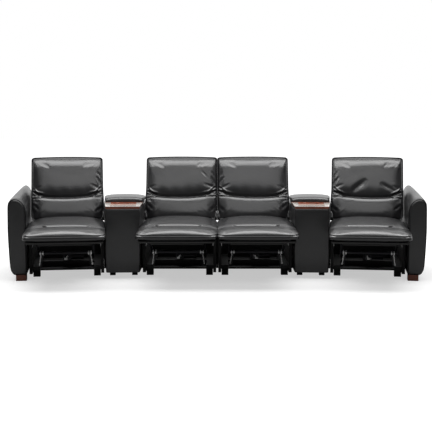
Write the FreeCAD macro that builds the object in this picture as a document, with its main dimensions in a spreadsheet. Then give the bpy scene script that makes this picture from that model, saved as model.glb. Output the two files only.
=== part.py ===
"""A curved row of four powered cinema recliners with two wedge consoles and two outer arms.

Millimetres, +Z up. The seats face -Y. The origin is on the floor at the middle of the row's
footprint, between the two middle seats. The rest pose is the one photographed: seats glided
forward, footrests out, backs near upright.
"""
import FreeCAD, Part
import Sketcher
import math
import os
import re

Vec = FreeCAD.Vector
Turn = FreeCAD.Rotation
X_AXIS = Vec(1, 0, 0)
Y_AXIS = Vec(0, 1, 0)
Z_AXIS = Vec(0, 0, 1)

SIZES = {
    # Plan of the row: the middle seats are parallel, each wedge console turns the outer seat in
    "front_line_y": -100,
    "seat_gap": 12,
    "console_pitch": 273.3,
    "wedge_turn": 7.2,
    "seat_width": 588,
    "steel": 4,
    # Seat carriage: deck, side plates and the cushion on them
    "glide_travel": 120,
    "hinge_y": -165,
    "hinge_z": 400,
    "deck_top": 345,
    "deck_thick": 3,
    "deck_front_y": -104,
    "deck_rear_y": 466,
    "deck_inset": 14,
    "seat_rear_y": 462,
    "seat_top": 428,
    "seat_crown": 26,
    "side_bulge": 5,
    "tuck_gap": 1.6,
    "plate_inset": 72,
    "plate_front_y": -40,
    "plate_low_z": 285,
    "brace_y": 120,
    "brace_z": 316,
    "brace_radius": 9,
    # Back: pivot, lean and the cushion with its crease
    "back_pivot_y": 505,
    "back_pivot_z": 395,
    "back_lean": 21,
    "back_height": 553,
    "back_cushion_start": 33,
    "back_cushion_depth": 76,
    "back_crown": 14,
    "back_shell_depth": 62,
    "crease_height": 243,
    "crease_depth": 28,
    "pivot_radius": 5,
    "pivot_clearance": 0.4,
    # Footrest
    "footrest_length": 347,
    "footrest_drop": 55,
    "board_thick": 12,
    "board_start": 30,
    "board_inset": 22,
    "bracket_start": 76,
    "bracket_length": 164,
    "bracket_height": 27,
    "front_bar_radius": 7,
    # Scissor linkage: drops and reaches of the two parallel links on each side
    "layer_step": 6,
    "lower_reach": 160,
    "lower_drop": 72,
    "lower_pivot_y": 50,
    "lower_pivot_z": 300,
    "upper_reach": 85,
    "upper_drop": 70,
    "upper_pivot_y": 5,
    "upper_pivot_z": 318,
    "link_half": 11,
    "slim_link_half": 8,
    "open_pivot_play": 0.3,
    "torque_radius": 12,
    "torque_inset": 32,
    "collar_radius": 16,
    "clevis_drop": 46,
    "clevis_inner_x": 13,
    "bolt_radius": 7,
    "stay_radius": 3.5,
    "stay_x": 170,
    "stay_end_x": 187,
    "stay_end_y": -76,
    "stay_end_z": 116,
    # Drive
    "rod_radius": 7,
    "rod_length": 440,
    "eye_radius": 9,
    "eye_half": 11,
    "drive_tube_start": 418,
    "drive_tube_length": 428,
    "drive_tube_radius": 18,
    "rod_play": 0.3,
    "gearbox_start": 20,
    "gearbox_width": 60,
    "gearbox_length": 70,
    "motor_radius": 25,
    "motor_length": 100,
    # Fixed base under each seat
    "side_panel_gap": 2,
    "side_panel_thick": 24,
    "side_panel_front": 120,
    "side_panel_low": 30,
    "side_panel_top": 328,
    "base_rear_y": 778,
    "base_front_y": 140,
    "foot_height": 55,
    "foot_width": 54,
    "foot_inset": 56,
    "foot_front_y": 171,
    "foot_rear_y": 700,
    "side_rail_top": 85,
    "front_rail_height": 13,
    "front_rail_depth": 18,
    "rear_board_top": 290,
    "bottom_board": 3,
    "cross_rail_y": 330,
    "cross_rail_depth": 50,
    "rail_top": 292,
    "rail_web": 52,
    "rail_flange": 34,
    "rail_play": 0.3,
    "slider_play": 2,
    "slider_length": 540,
    "rail_start_y": 140,
    "rail_end_y": 740,
    # Outer arms
    "arm_gap": 8,
    "arm_width": 139,
    "arm_low_z": 45,
    "arm_front_top": 631,
    "arm_rear_top": 672,
    "arm_front_y": -4,
    "arm_panel_thick": 12,
    "arm_length": 904,
    "arm_taper": 50,
    "leg_width": 80,
    "leg_front_y": -10,
    "leg_rear_y": 790,
    "leg_inset": 4,
    # Consoles
    "console_width": 264,
    "console_depth": 760,
    "console_low_z": 48,
    "console_top": 550,
    "console_foot": 44,
    "tray_depth": 383,
    "tray_thick": 18,
    "recess_width": 205,
    "recess_start": 32,
    "recess_length": 318,
    "recess_depth": 10,
    "bin_width": 230,
    "bin_start": 400,
    "bin_length": 300,
    "bin_floor": 300,
    "lid_length": 357,
    "lid_thick": 60,
    "lid_gap": 2,
    "seat_clearance": 0.3,
    "knuckle_radius": 5,
    "knuckle_length": 30,
    # Touch panels on the arms' and consoles' inner faces
    "panel_start_y": 120,
    "panel_length": 90,
    "panel_low_z": 500,
    "panel_height": 34,
    "panel_thick": 2,
}

# Sizes that follow from the ones above
DERIVED = {
    "seat_pitch": "seat_width + seat_gap",
    "deck_width": "seat_width - 2 * deck_inset",
    "plate_inner_x": "seat_width / 2 - plate_inset",
    "torque_half": "seat_width / 2 - plate_inset - torque_inset",
    "side_panel_x": "seat_width / 2 - side_panel_thick - side_panel_gap",
    "foot_x": "seat_width / 2 - foot_inset",
    "arm_inner_x": "seat_width / 2 + arm_gap",
}

doc = FreeCAD.newDocument("CinemaRow")
sheet = doc.addObject("Spreadsheet::Sheet", "Sizes")
for row, (alias, value) in enumerate([*SIZES.items(), *DERIVED.items()], start=1):
    sheet.set(f"A{row}", alias)
    sheet.set(f"B{row}", f"={value}")
    sheet.setAlias(f"B{row}", alias)
doc.recompute()

NAMES = sorted([*SIZES, *DERIVED], key=len, reverse=True)
ALIASES = re.compile(r"\b(" + "|".join(NAMES) + r")\b")
NODES = []
ROUGH_OUTLINE = [(-100, 10, 0), (100, 10, 0), (150, 500, 0), (-150, 500, 0)]


def size(alias):
    """The sheet's value of one driving dimension."""
    return float(sheet.get(alias))


def bind(item, path, formula):
    """Ties one property of an object to a formula of the sheet's names."""
    item.setExpression(path, ALIASES.sub(r"Sizes.\1", str(formula)))


def place(item, base, turn=None, axis=X_AXIS):
    """Binds an object's place, and its turn about one axis, to formulas."""
    item.Placement = FreeCAD.Placement(Vec(0, 0, 0), Turn(axis, 1))
    for name, formula in zip("xyz", base):
        bind(item, f"Placement.Base.{name}", formula)
    bind(item, "Placement.Rotation.Angle", "0" if turn is None else turn)
    return item


def box(start, extent):
    """A block from its low corner and its three lengths, all formulas."""
    item = doc.addObject("Part::Box", "Block")
    for name, formula in zip(("Length", "Width", "Height"), extent):
        bind(item, name, formula)
    return place(item, start)


def cylinder(radius, length, start, axis="x"):
    """A round bar along x, y or z from its first end."""
    item = doc.addObject("Part::Cylinder", "Round")
    bind(item, "Radius", radius)
    bind(item, "Height", length)
    turn, about = {"x": ("90", Y_AXIS), "y": ("-90", X_AXIS), "z": ("0", X_AXIS)}[axis]
    return place(item, start, turn, about)


def pair_of(make):
    """What make gives for the left side and for the right side."""
    return make(-1) + make(1)


def side_start(side, near, length):
    """The low x of a piece that starts at distance near from the middle, on one side."""
    return f"({near})" if side > 0 else f"-(({near}) + ({length}))"


def fuse(pieces):
    item = doc.addObject("Part::MultiFuse", "Joined")
    item.Shapes = pieces
    item.Refine = True
    return item


def cut(base, tools):
    item = doc.addObject("Part::Cut", "Opened")
    item.Base = base
    item.Tool = tools[0] if len(tools) == 1 else fuse(tools)
    return item


def group(pieces):
    item = doc.addObject("Part::Compound", "Group")
    item.Links = pieces
    return item


def moved(item, base, turn=None, axis=X_AXIS):
    """The same piece carried to another place."""
    return place(group([item]), base, turn, axis)


def node(label, item):
    """Registers a finished sub-part under the name of its file."""
    item.Label = label
    NODES.append(item)


def polygon_prism(points, start_z, height):
    """A sketch of straight sides on the floor plane, padded upwards; points are pairs of formulas."""
    body = doc.addObject("PartDesign::Body", "Panel")
    sketch = body.newObject("Sketcher::SketchObject", "Outline")
    floor = [item for item in body.Origin.OriginFeatures if item.Role == "XY_Plane"][0]
    sketch.AttachmentSupport = [(floor, "")]
    sketch.MapMode = "FlatFace"
    rough = [Vec(*value) for value in ROUGH_OUTLINE[:len(points)]]
    count = len(points)
    for index in range(count):
        sketch.addGeometry(Part.LineSegment(rough[index], rough[(index + 1) % count]), False)
    for index in range(count):
        sketch.addConstraint(Sketcher.Constraint("Coincident", index, 2, (index + 1) % count, 1))
    for index, pair in enumerate(points):
        for kind, formula, value in zip(("DistanceX", "DistanceY"), pair, rough[index]):
            number = sketch.addConstraint(Sketcher.Constraint(kind, -1, 1, index, 1, value))
            bind(sketch, f"Constraints[{number}]", formula)
    pad = body.newObject("PartDesign::Pad", "Height")
    pad.Profile = sketch
    bind(pad, "Length", height)
    return place(body, ("0", "0", start_z))


def feature(shape):
    """A shaped piece made from lines and arcs whose sizes are read from the sheet."""
    item = doc.addObject("Part::Feature", "Shaped")
    item.Shape = shape
    return item


def arc(first, middle, last):
    return Part.Arc(first, middle, last).toShape()


def line(first, last):
    return Part.makeLine(first, last)


def loft(wires):
    return Part.makeLoft(wires, True, True)


def seat_frames():
    """Each seat's place in the row, as formulas for x, y and the turn about the vertical."""
    outer_x = ("seat_pitch + console_pitch * cos(wedge_turn / 2)"
               " + seat_pitch / 2 * cos(wedge_turn)")
    outer_y = "-(console_pitch * sin(wedge_turn / 2) + seat_pitch / 2 * sin(wedge_turn))"
    return {
        1: (f"-({outer_x})", outer_y, "wedge_turn"),
        2: ("-seat_pitch / 2", "0", "0"),
        3: ("seat_pitch / 2", "0", "0"),
        4: (outer_x, outer_y, "-wedge_turn"),
    }


def console_frames():
    """Each console's place in the row; a console splits the turn of its outer seat in half."""
    middle_x = "seat_pitch + console_pitch / 2 * cos(wedge_turn / 2)"
    middle_y = "-(console_pitch / 2 * sin(wedge_turn / 2))"
    return {
        1: (f"-({middle_x})", middle_y, "wedge_turn / 2"),
        2: (middle_x, middle_y, "-wedge_turn / 2"),
    }


CONSOLE_FACE = "(seat_pitch / 2 + (console_pitch - console_width) / 2 * cos(wedge_turn / 2))"
SEATS = seat_frames()
CONSOLES = console_frames()


def in_row(item, frame):
    """A piece modelled about its own seat or console, carried to its place in the row."""
    x, y, turn = frame
    return moved(item, (x, f"{y} + front_line_y", "0"), turn, Z_AXIS)


# Footrest linkage: pivots as formulas. Both pairs of links are parallel to the footrest's own arm
# from the hinge, so every link turns as far as the footrest does.
HINGE = ("hinge_y", "hinge_z")
LOWER_FRAME = ("lower_pivot_y", "lower_pivot_z")
LOWER_FOOT = ("hinge_y - lower_reach", "hinge_z - lower_drop")
LOWER_JOIN = ("lower_pivot_y - lower_reach", "lower_pivot_z - lower_drop")
UPPER_FRAME = ("upper_pivot_y", "upper_pivot_z")
UPPER_FOOT = ("hinge_y - upper_reach", "hinge_z - upper_drop")
UPPER_JOIN = ("upper_pivot_y - upper_reach", "upper_pivot_z - upper_drop")
CLEVIS = (LOWER_JOIN[0], f"{LOWER_JOIN[1]} - clevis_drop")


def layer(number):
    """Inner face of one layer of plates beside the frame's side plate, counted inwards."""
    return f"plate_inner_x - {number} * layer_step"


def link(side, number, first, last, half, first_hole, last_hole):
    """A flat bar with round ends and two holes in one layer, from one pivot to the other."""
    reach_y = f"(({last[0]}) - ({first[0]}))"
    reach_z = f"(({last[1]}) - ({first[1]}))"
    length = f"sqrt({reach_y} * {reach_y} + {reach_z} * {reach_z})"
    bar = fuse([
        box(("0", "0", f"-{half}"), ("steel", length, f"2 * {half}")),
        cylinder(half, "steel", ("0", "0", "0")),
        cylinder(half, "steel", ("0", length, "0")),
    ])
    tools = []
    if first_hole:
        tools.append(cylinder(first_hole, "3 * steel", ("-steel", "0", "0")))
    if last_hole:
        tools.append(cylinder(last_hole, "3 * steel", ("-steel", length, "0")))
    bar = cut(bar, tools) if tools else bar
    near = side_start(side, layer(number), "steel")
    return moved(bar, (near, first[0], first[1]), f"atan2({reach_z}; {reach_y})")


def pin(side, near, far, centre, radius):
    """A round pin along x between two distances from the middle, on one side."""
    length = f"(({far}) - ({near}))"
    return cylinder(radius, length, (side_start(side, near, length), centre[0], centre[1]))


def seat_frame():
    """Pressed deck on two side plates with their sliders and pivots, and the brace between them."""
    deck_low = "deck_top - deck_thick"
    post_start = "(back_pivot_y - 3 * pivot_radius)"
    slider_width = "(side_panel_x - steel - slider_play - plate_inner_x)"
    pieces = [
        box(("-deck_width / 2", "deck_front_y", deck_low),
            ("deck_width", "deck_rear_y - deck_front_y", "deck_thick")),
        cylinder("brace_radius", "2 * plate_inner_x", ("-plate_inner_x", "brace_y", "brace_z")),
    ]
    for side in (-1, 1):
        plate = side_start(side, "plate_inner_x", "steel")
        slider = side_start(side, "plate_inner_x", slider_width)
        pieces.append(fuse([
            box((plate, "plate_front_y", "plate_low_z"),
                ("steel", f"{post_start} - plate_front_y + 6 * pivot_radius",
                 f"{deck_low} - plate_low_z")),
            box((plate, post_start, "plate_low_z"),
                ("steel", "6 * pivot_radius", "back_pivot_z - plate_low_z")),
            cylinder("3 * pivot_radius", "steel", (plate, "back_pivot_y", "back_pivot_z")),
            pin(side, "plate_inner_x", "plate_inner_x + 3 * steel",
                ("back_pivot_y", "back_pivot_z"), "pivot_radius"),
            pin(side, "plate_inner_x - layer_step - steel / 4", "plate_inner_x + steel",
                LOWER_FRAME, "pivot_radius"),
            pin(side, "plate_inner_x - 3 * layer_step - steel / 4", "plate_inner_x + steel",
                UPPER_FRAME, "pivot_radius"),
            box((slider, "plate_front_y", "rail_top + rail_play"),
                (slider_width, "slider_length", "steel")),
        ]))
    return group(pieces)


def footrest_board():
    """Board, a bracket on each side with its pivots, and the bar between their front ends."""
    board_low = "(hinge_z - footrest_drop)"
    bracket_front = "(hinge_y - bracket_start - bracket_length)"
    bracket_x = f"({layer(5)})"
    bar_centre = (f"{bracket_front} + 1.5 * front_bar_radius", "hinge_z - lower_drop")
    pieces = [
        box(("-deck_width / 2", "hinge_y - footrest_length + board_inset", board_low),
            ("deck_width", "footrest_length - board_inset - board_start", "board_thick")),
        cylinder("front_bar_radius", f"2 * {bracket_x}", (f"-{bracket_x}", *bar_centre)),
    ]
    for side in (-1, 1):
        pieces.append(fuse([
            box((side_start(side, bracket_x, "steel"), bracket_front,
                 f"{board_low} - bracket_height"),
                ("steel", "bracket_length", "bracket_height")),
            pin(side, bracket_x, f"{layer(2)} + 4 * steel / 3", LOWER_FOOT, "pivot_radius"),
            pin(side, bracket_x, f"{layer(4)} + 4 * steel / 3", UPPER_FOOT, "pivot_radius"),
        ]))
    return group(pieces)


PIVOT_HOLE = "(pivot_radius + pivot_clearance)"


def link_lower_rear():
    """The two lower frame links, the torque tube between them, its clevis and its stay rods."""
    pin_radius = "(torque_radius / 2)"
    pieces = [
        cylinder("torque_radius", "2 * torque_half", ("-torque_half", *LOWER_JOIN)),
    ]
    stay_y = f"(stay_end_y - ({LOWER_JOIN[0]}))"
    stay_z = f"(stay_end_z - ({LOWER_JOIN[1]}))"
    stay_out = "(stay_end_x - stay_x)"
    stay_down = f"sqrt({stay_y} * {stay_y} + {stay_z} * {stay_z})"
    stay_length = f"sqrt({stay_down} * {stay_down} + {stay_out} * {stay_out})"
    for side in (-1, 1):
        stay = cylinder("stay_radius", stay_length, ("0", "0", "0"), "z")
        splayed = moved(stay, ("0", "0", "0"), f"{side} * atan({stay_out} / {stay_down})", Y_AXIS)
        swung = moved(splayed, (f"{side} * stay_x", *LOWER_JOIN),
                      f"180 deg + atan2({stay_y}; -{stay_z})")
        pieces += [
            link(side, 1, LOWER_FRAME, LOWER_JOIN, "link_half", PIVOT_HOLE, None),
            pin(side, "torque_half - steel", f"{layer(1)} + steel", LOWER_JOIN, pin_radius),
            pin(side, "torque_half - 3 * steel", "torque_half", LOWER_JOIN, "collar_radius"),
            swung,
            box((side_start(side, "clevis_inner_x", "steel"), f"{CLEVIS[0]} - eye_radius",
                 f"{CLEVIS[1]} - eye_radius"),
                ("steel", "2 * eye_radius", "clevis_drop + eye_radius")),
            pin(side, "clevis_inner_x + steel", "clevis_inner_x + 3 * steel", CLEVIS, "bolt_radius"),
        ]
    return fuse(pieces)


def link_lower_front():
    """The two lower footrest links; their rear holes run open round the torque tube's pins."""
    play = "(torque_radius / 2 + open_pivot_play)"
    return group(pair_of(lambda side: [
        link(side, 2, LOWER_FOOT, LOWER_JOIN, "link_half", PIVOT_HOLE, play)]))


def link_upper_rear():
    """The two upper frame links, each with the pin that meets its footrest link."""
    return group(pair_of(lambda side: [fuse([
        link(side, 3, UPPER_FRAME, UPPER_JOIN, "slim_link_half", PIVOT_HOLE, None),
        pin(side, f"{layer(4)} - steel / 4", layer(3), UPPER_JOIN, "pivot_radius"),
    ])]))


def link_upper_front():
    """The two upper footrest links."""
    play = "(pivot_radius + open_pivot_play)"
    return group(pair_of(lambda side: [
        link(side, 4, UPPER_FOOT, UPPER_JOIN, "slim_link_half", PIVOT_HOLE, play)]))


# Drive: the rod runs along the straight line between the clevis's two end places.
DRIVE_REACH_Y = "(lower_drop + clevis_drop + glide_travel + lower_reach)"
DRIVE_REACH_Z = "(lower_drop + clevis_drop - lower_reach)"
DRIVE_TURN = f"atan2({DRIVE_REACH_Z}; {DRIVE_REACH_Y})"


def drive_rod():
    """Push rod with its eye between the clevis's ears."""
    rod = fuse([
        cylinder("eye_radius", "2 * eye_half", ("-eye_half", "0", "0")),
        cylinder("rod_radius", "rod_length", ("0", "0", "0"), "y"),
    ])
    return moved(rod, ("0", *CLEVIS), DRIVE_TURN)


def drive_motor():
    """Drive tube, gearbox and motor can, seated on the cross rail and on the rear board."""
    tube = fuse([
        cylinder("drive_tube_radius", "drive_tube_length", ("0", "drive_tube_start", "0"), "y"),
        box(("-gearbox_width / 2", "drive_tube_start + gearbox_start", "-gearbox_width / 2"),
            ("gearbox_width", "gearbox_length", "gearbox_width")),
        cylinder("motor_radius", "motor_length",
                 ("gearbox_width / 2", "drive_tube_start + gearbox_start + gearbox_length / 2", "0")),
    ])
    bored = cut(tube, [
        cylinder("rod_radius + rod_play", "drive_tube_start + drive_tube_length",
                 ("0", "2 * eye_radius", "0"), "y")])
    return moved(bored, ("0", *CLEVIS), DRIVE_TURN)


def base_side_panels():
    """The two upright side panels of one base."""
    return group(pair_of(lambda side: [box(
        (side_start(side, "side_panel_x", "side_panel_thick"), "side_panel_front", "side_panel_low"),
        ("side_panel_thick", "base_rear_y - side_panel_front", "side_panel_top - side_panel_low"))]))


def base_rails():
    """Side rails, front lip, cross rail, rear board and bottom boards of one base, butted together."""
    rail_start = "(foot_x - foot_width / 2)"
    rail_width = f"(side_panel_x - {rail_start})"
    rail_rear = "(cross_rail_y + cross_rail_depth)"
    motor_low = (f"({CLEVIS[1]} + ({rail_rear} - ({CLEVIS[0]})) * tan({DRIVE_TURN})"
                 f" - gearbox_width / 2 / cos({DRIVE_TURN}))")
    pieces = pair_of(lambda side: [
        box((side_start(side, rail_start, rail_width), "base_front_y", "foot_height"),
            (rail_width, "base_rear_y - front_rail_depth - base_front_y",
             "side_rail_top - foot_height"))])
    pieces += [
        box((f"-{rail_start}", "base_front_y", "foot_height"),
            (f"2 * {rail_start}", "front_rail_depth", "front_rail_height")),
        box((f"-{rail_start}", "cross_rail_y", "foot_height"),
            (f"2 * {rail_start}", "cross_rail_depth",
             f"{motor_low} - seat_clearance - foot_height")),
        box(("-side_panel_x", "base_rear_y - front_rail_depth", "foot_height"),
            ("2 * side_panel_x", "front_rail_depth", "rear_board_top - foot_height")),
        box((f"-{rail_start}", "base_front_y + front_rail_depth", "foot_height"),
            (f"2 * {rail_start}", "cross_rail_y - base_front_y - front_rail_depth", "bottom_board")),
        box((f"-{rail_start}", rail_rear, "foot_height"),
            (f"2 * {rail_start}", f"base_rear_y - front_rail_depth - {rail_rear}", "bottom_board")),
    ]
    return group(pieces)


def spacers(number):
    """Blocks that join one base to its neighbours at the half pitch, or to its outer arm.

    Beside a console or seat the rear block is a board as tall as the side panel and closes the slit.
    """
    panel_outer = "side_panel_x + side_panel_thick"
    to_console = CONSOLE_FACE
    to_arm = "arm_inner_x"
    to_seat = "seat_pitch / 2"
    reaches = {1: (to_arm, to_console), 2: (to_console, to_seat),
               3: (to_seat, to_console), 4: (to_console, to_arm)}[number]
    blocks = []
    for side, reach in zip((-1, 1), reaches):
        length = f"({reach} - ({panel_outer}))"
        rear_low, rear_height = "3 * foot_width", "foot_width"
        if reach != to_arm:
            rear_low, rear_height = "foot_height", "side_panel_top - foot_height"
        blocks += [box((side_start(side, panel_outer, length), start, low),
                       (length, "foot_width", height))
                   for start, low, height in (("cross_rail_y", "3 * foot_width", "foot_width"),
                                              ("foot_rear_y", rear_low, rear_height))]
    return group(blocks)


def feet():
    """Four block feet under one base."""
    return group(pair_of(lambda side: [
        box((side_start(side, "(foot_x - foot_width / 2)", "foot_width"), start, "0"),
            ("foot_width", "foot_width", "foot_height"))
        for start in ("foot_front_y", "foot_rear_y")]))


def console_feet():
    """Four smaller feet under one console."""
    reach = "(console_width / 2 - 1.5 * console_foot)"
    return group(pair_of(lambda side: [
        box((side_start(side, reach, "console_foot"), start, "0"),
            ("console_foot", "console_foot", "console_low_z"))
        for start in ("foot_front_y", "foot_rear_y - console_foot")]))


def glide_rail():
    """An angle rail on each side panel's inner face."""
    length = "rail_end_y - rail_start_y"
    return group(pair_of(lambda side: [fuse([
        box((side_start(side, "side_panel_x - steel", "steel"), "rail_start_y", "rail_top - rail_web"),
            ("steel", length, "rail_web")),
        box((side_start(side, "side_panel_x - rail_flange", "rail_flange"), "rail_start_y",
             "rail_top - steel"),
            ("rail_flange", length, "steel")),
    ])]))


def touch_panel(side, face):
    """A flush panel on a face beside the seat, thick towards the seat."""
    start = f"{face} - panel_thick"
    return box((side_start(side, start, "panel_thick"), "panel_start_y", "panel_low_z"),
               ("panel_thick", "panel_length", "panel_height"))


def back_shell():
    """Curved rear shell of a back with a hinge ear on each side; the pivot is at the origin."""
    depth = size("back_shell_depth")
    lip = 0.1 * depth
    half = size("seat_width") / 2 - lip
    round_x = 0.065 * depth
    round_y = 0.16 * depth
    height = size("back_height")
    wires = []
    for share, rear, inset in ((-0.02, 0.75, 1), (0.06, 1, 0), (0.86, 1, 0), (0.955, 0.7, 1)):
        x = half - inset * lip
        level = share * height
        back = depth * rear
        wires.append(Part.Wire([
            line(Vec(-x, 0, level), Vec(x, 0, level)),
            line(Vec(x, 0, level), Vec(x - round_x, back - round_y, level)),
            arc(Vec(x - round_x, back - round_y, level), Vec(0, back, level),
                Vec(round_x - x, back - round_y, level)),
            line(Vec(round_x - x, back - round_y, level), Vec(-x, 0, level)),
        ]))
    return feature(loft(wires))


def back_frame():
    """Rear shell opened for the frame's plates and pins at the two hinges."""
    slot = "(plate_inner_x - 0.75 * steel)"
    width = "(5.5 * steel)"
    tools = pair_of(lambda side: [
        box((side_start(side, slot, width), "-4 * pivot_radius", "-6 * pivot_radius"),
            (width, "40 * pivot_radius", "12 * pivot_radius"))])
    ears = pair_of(lambda side: [cut(
        box((side_start(side, "plate_inner_x + 2 * steel", "2 * steel"), "-2 * pivot_radius",
             "-2 * pivot_radius"), ("2 * steel", "6 * pivot_radius", "8 * pivot_radius")),
        [pin(side, "plate_inner_x", "plate_inner_x + 8 * steel", ("0", "0"), PIVOT_HOLE)])])
    return fuse([cut(back_shell(), tools)] + ears)


def back_cushion():
    """Crowned back cushion, drawn in at its crease and at its ends; the pivot is at the origin."""
    bulge = size("side_bulge")
    half = size("seat_width") / 2 - bulge
    depth = size("back_cushion_depth")
    crown = size("back_crown")
    low = size("back_cushion_start")
    crease = size("crease_height")
    top = size("back_height") - 2.4 * bulge
    lower = crease - low
    upper = top - crease
    drawn = size("crease_depth") / depth
    # Height, side inset in bulges, fullness of the depth and share of the crown at each level
    levels = [
        (low, 1, 0.86, 0.7), (low + 0.07 * lower, 0.2, 0.96, 0.95), (low + 0.46 * lower, 0, 1, 1.15),
        (low + 0.8 * lower, 0, 0.95, 0.85), (low + 0.96 * lower, 0.4, 1 - 0.7 * drawn, 0.45),
        (crease, 1, 1 - drawn, 0.3), (crease + 0.027 * upper, 0.4, 1 - 0.7 * drawn, 0.45),
        (crease + 0.16 * upper, 0, 0.95, 0.85), (crease + 0.57 * upper, 0, 0.98, 1),
        (crease + 0.865 * upper, 0, 0.93, 0.8), (crease + 0.96 * upper, 0.6, 0.8, 0.5),
        (top, 2, 0.55, 0.2),
    ]
    wires = []
    for level, inset, fullness, arch in levels:
        x = half - inset * bulge
        front = -depth * fullness
        wires.append(Part.Wire([
            line(Vec(-x, 0, level), Vec(x, 0, level)),
            arc(Vec(x, 0, level), Vec(x + bulge, front / 2, level), Vec(x, front, level)),
            arc(Vec(x, front, level), Vec(0, front - crown * arch, level), Vec(-x, front, level)),
            arc(Vec(-x, front, level), Vec(-x - bulge, front / 2, level), Vec(-x, 0, level)),
        ]))
    return feature(loft(wires))


def pad_wire(y, inset, low, edge, arch):
    """One cross-section of a pad: flat below, full at the sides, crowned above; inset in bulges."""
    bulge = size("side_bulge")
    x = size("seat_width") / 2 - (1 + inset) * bulge
    middle = (low + edge) / 2
    return Part.Wire([
        line(Vec(-x, y, low), Vec(x, y, low)),
        arc(Vec(x, y, low), Vec(x + bulge, y, middle), Vec(x, y, edge)),
        arc(Vec(x, y, edge), Vec(0, y, edge + arch * size("seat_crown")), Vec(-x, y, edge)),
        arc(Vec(-x, y, edge), Vec(-x - bulge, y, middle), Vec(-x, y, low)),
    ])


def seat_cushion():
    """Crowned seat pad; its front end is drawn in at the tuck, over the footrest's swing."""
    hinge_y = size("hinge_y")
    hinge_z = size("hinge_z")
    half_gap = size("tuck_gap") / 2
    low = size("deck_top")
    top = size("seat_top")
    thick = top - low
    front = size("deck_front_y")
    rear = size("seat_rear_y")
    length = rear - front
    swing = size("footrest_drop")
    return feature(loft([
        pad_wire(hinge_y + half_gap, 0.8, hinge_z + 2.5 * half_gap, top - 0.1 * thick, 0.2),
        pad_wire(hinge_y + 0.27 * swing, 0.2, hinge_z - 0.07 * swing, top, 0.35),
        pad_wire(hinge_y + swing, 0, hinge_z - 0.4 * swing, top + 0.02 * thick, 0.6),
        pad_wire(front, 0, low, top + 0.04 * thick, 0.62),
        pad_wire(front + 0.18 * length, 0, low, top + 0.06 * thick, 0.85),
        pad_wire(front + 0.57 * length, 0, low, top + 0.05 * thick, 1),
        pad_wire(front + 0.82 * length, 0, low, top + 0.01 * thick, 0.8),
        pad_wire(front + 0.956 * length, 0.4, low, top - 0.07 * thick, 0.4),
        pad_wire(rear, 1.6, low, top - 0.22 * thick, 0.2),
    ]))


def footrest_pad():
    """Crowned footrest pad with a rolled front edge, drawn in at the tuck."""
    hinge_y = size("hinge_y")
    hinge_z = size("hinge_z")
    half_gap = size("tuck_gap") / 2
    length = size("footrest_length")
    low = hinge_z - size("footrest_drop") + size("board_thick")
    top = size("seat_top")
    thick = top - low
    front = hinge_y - length
    return feature(loft([
        pad_wire(hinge_y - half_gap, 0.8, hinge_z - 2.5 * half_gap, top - 0.11 * thick, 0.2),
        pad_wire(hinge_y - 0.023 * length, 0.4, hinge_z - 0.25 * thick, top - 0.04 * thick, 0.3),
        pad_wire(hinge_y - 0.072 * length, 0, low, top, 0.4),
        pad_wire(hinge_y - 0.5 * length, 0, low, top + 0.03 * thick, 0.5),
        pad_wire(front + 0.2 * length, 0, low, top, 0.46),
        pad_wire(front + 0.08 * length, 0.2, low + 0.09 * thick, top - 0.1 * thick, 0.4),
        pad_wire(front + 0.023 * length, 0.8, low + 0.22 * thick, top - 0.25 * thick, 0.3),
        pad_wire(front, 2, low + 0.4 * thick, top - 0.46 * thick, 0.2),
    ]))


def arm_wire(side, y, top, inset, narrow=0):
    """The arm's outline seen from the front: flat inside, barrel-shaped outside.

    Its upper part leans inwards by that share of arm_taper, over a foot that stays full width.
    """
    inner = size("arm_inner_x") + inset
    outer = size("arm_inner_x") + size("arm_width") - inset
    upper = outer - narrow * size("arm_taper")
    low = size("arm_low_z") + inset
    high = top - inset
    belly = (low + high) / 2 + 35

    def at(x, z):
        return Vec(side * x, y, z)

    return Part.Wire([
        line(at(outer - 54, low), at(inner, low)),
        line(at(inner, low), at(inner, high - 12)),
        arc(at(inner, high - 12), at((inner + upper) / 2 - 8, high), at(upper - 17, high - 6)),
        arc(at(upper - 17, high - 6), at(upper - 8, high - 18), at(upper - 5, high - 60)),
        arc(at(upper - 5, high - 60), at(outer - 0.35 * (outer - upper), belly),
            at(outer - 13, low + 55)),
        arc(at(outer - 13, low + 55), at(outer - 28, low + 20), at(outer - 54, low)),
    ])


def arm(side):
    """Padded arm, rising to the rear and rounded at its rear end."""
    front = size("arm_front_y") + size("arm_panel_thick")
    rear = size("arm_front_y") + size("arm_length")
    low_top = size("arm_front_top")
    high_top = size("arm_rear_top")
    return feature(loft([
        arm_wire(side, front, low_top, 2),
        arm_wire(side, front + 10, low_top, 0),
        arm_wire(side, (front + rear) / 2, (low_top + high_top) / 2 + 4, 0, 0.22),
        arm_wire(side, rear - 70, high_top, 0, 0.9),
        arm_wire(side, rear - 20, high_top - 6, 5, 0.95),
        arm_wire(side, rear, high_top - 20, 20, 0.7),
    ]))


def arm_front_panel(side):
    """Flat padded panel on the arm's front."""
    front = size("arm_front_y")
    thick = size("arm_panel_thick")
    top = size("arm_front_top")
    return feature(loft([
        arm_wire(side, front, top, 9),
        arm_wire(side, front + 5, top, 5),
        arm_wire(side, front + thick, top, 5),
    ]))


def arm_legs(side):
    """Wooden block legs under the arm's front and rear."""
    start = side_start(side, "arm_inner_x + leg_inset", "leg_width")
    return group([box((start, y, "0"), ("leg_width", "leg_width", "arm_low_z"))
                  for y in ("leg_front_y", "leg_rear_y")])


CONSOLE_FLARE = "tan(wedge_turn / 2)"


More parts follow.
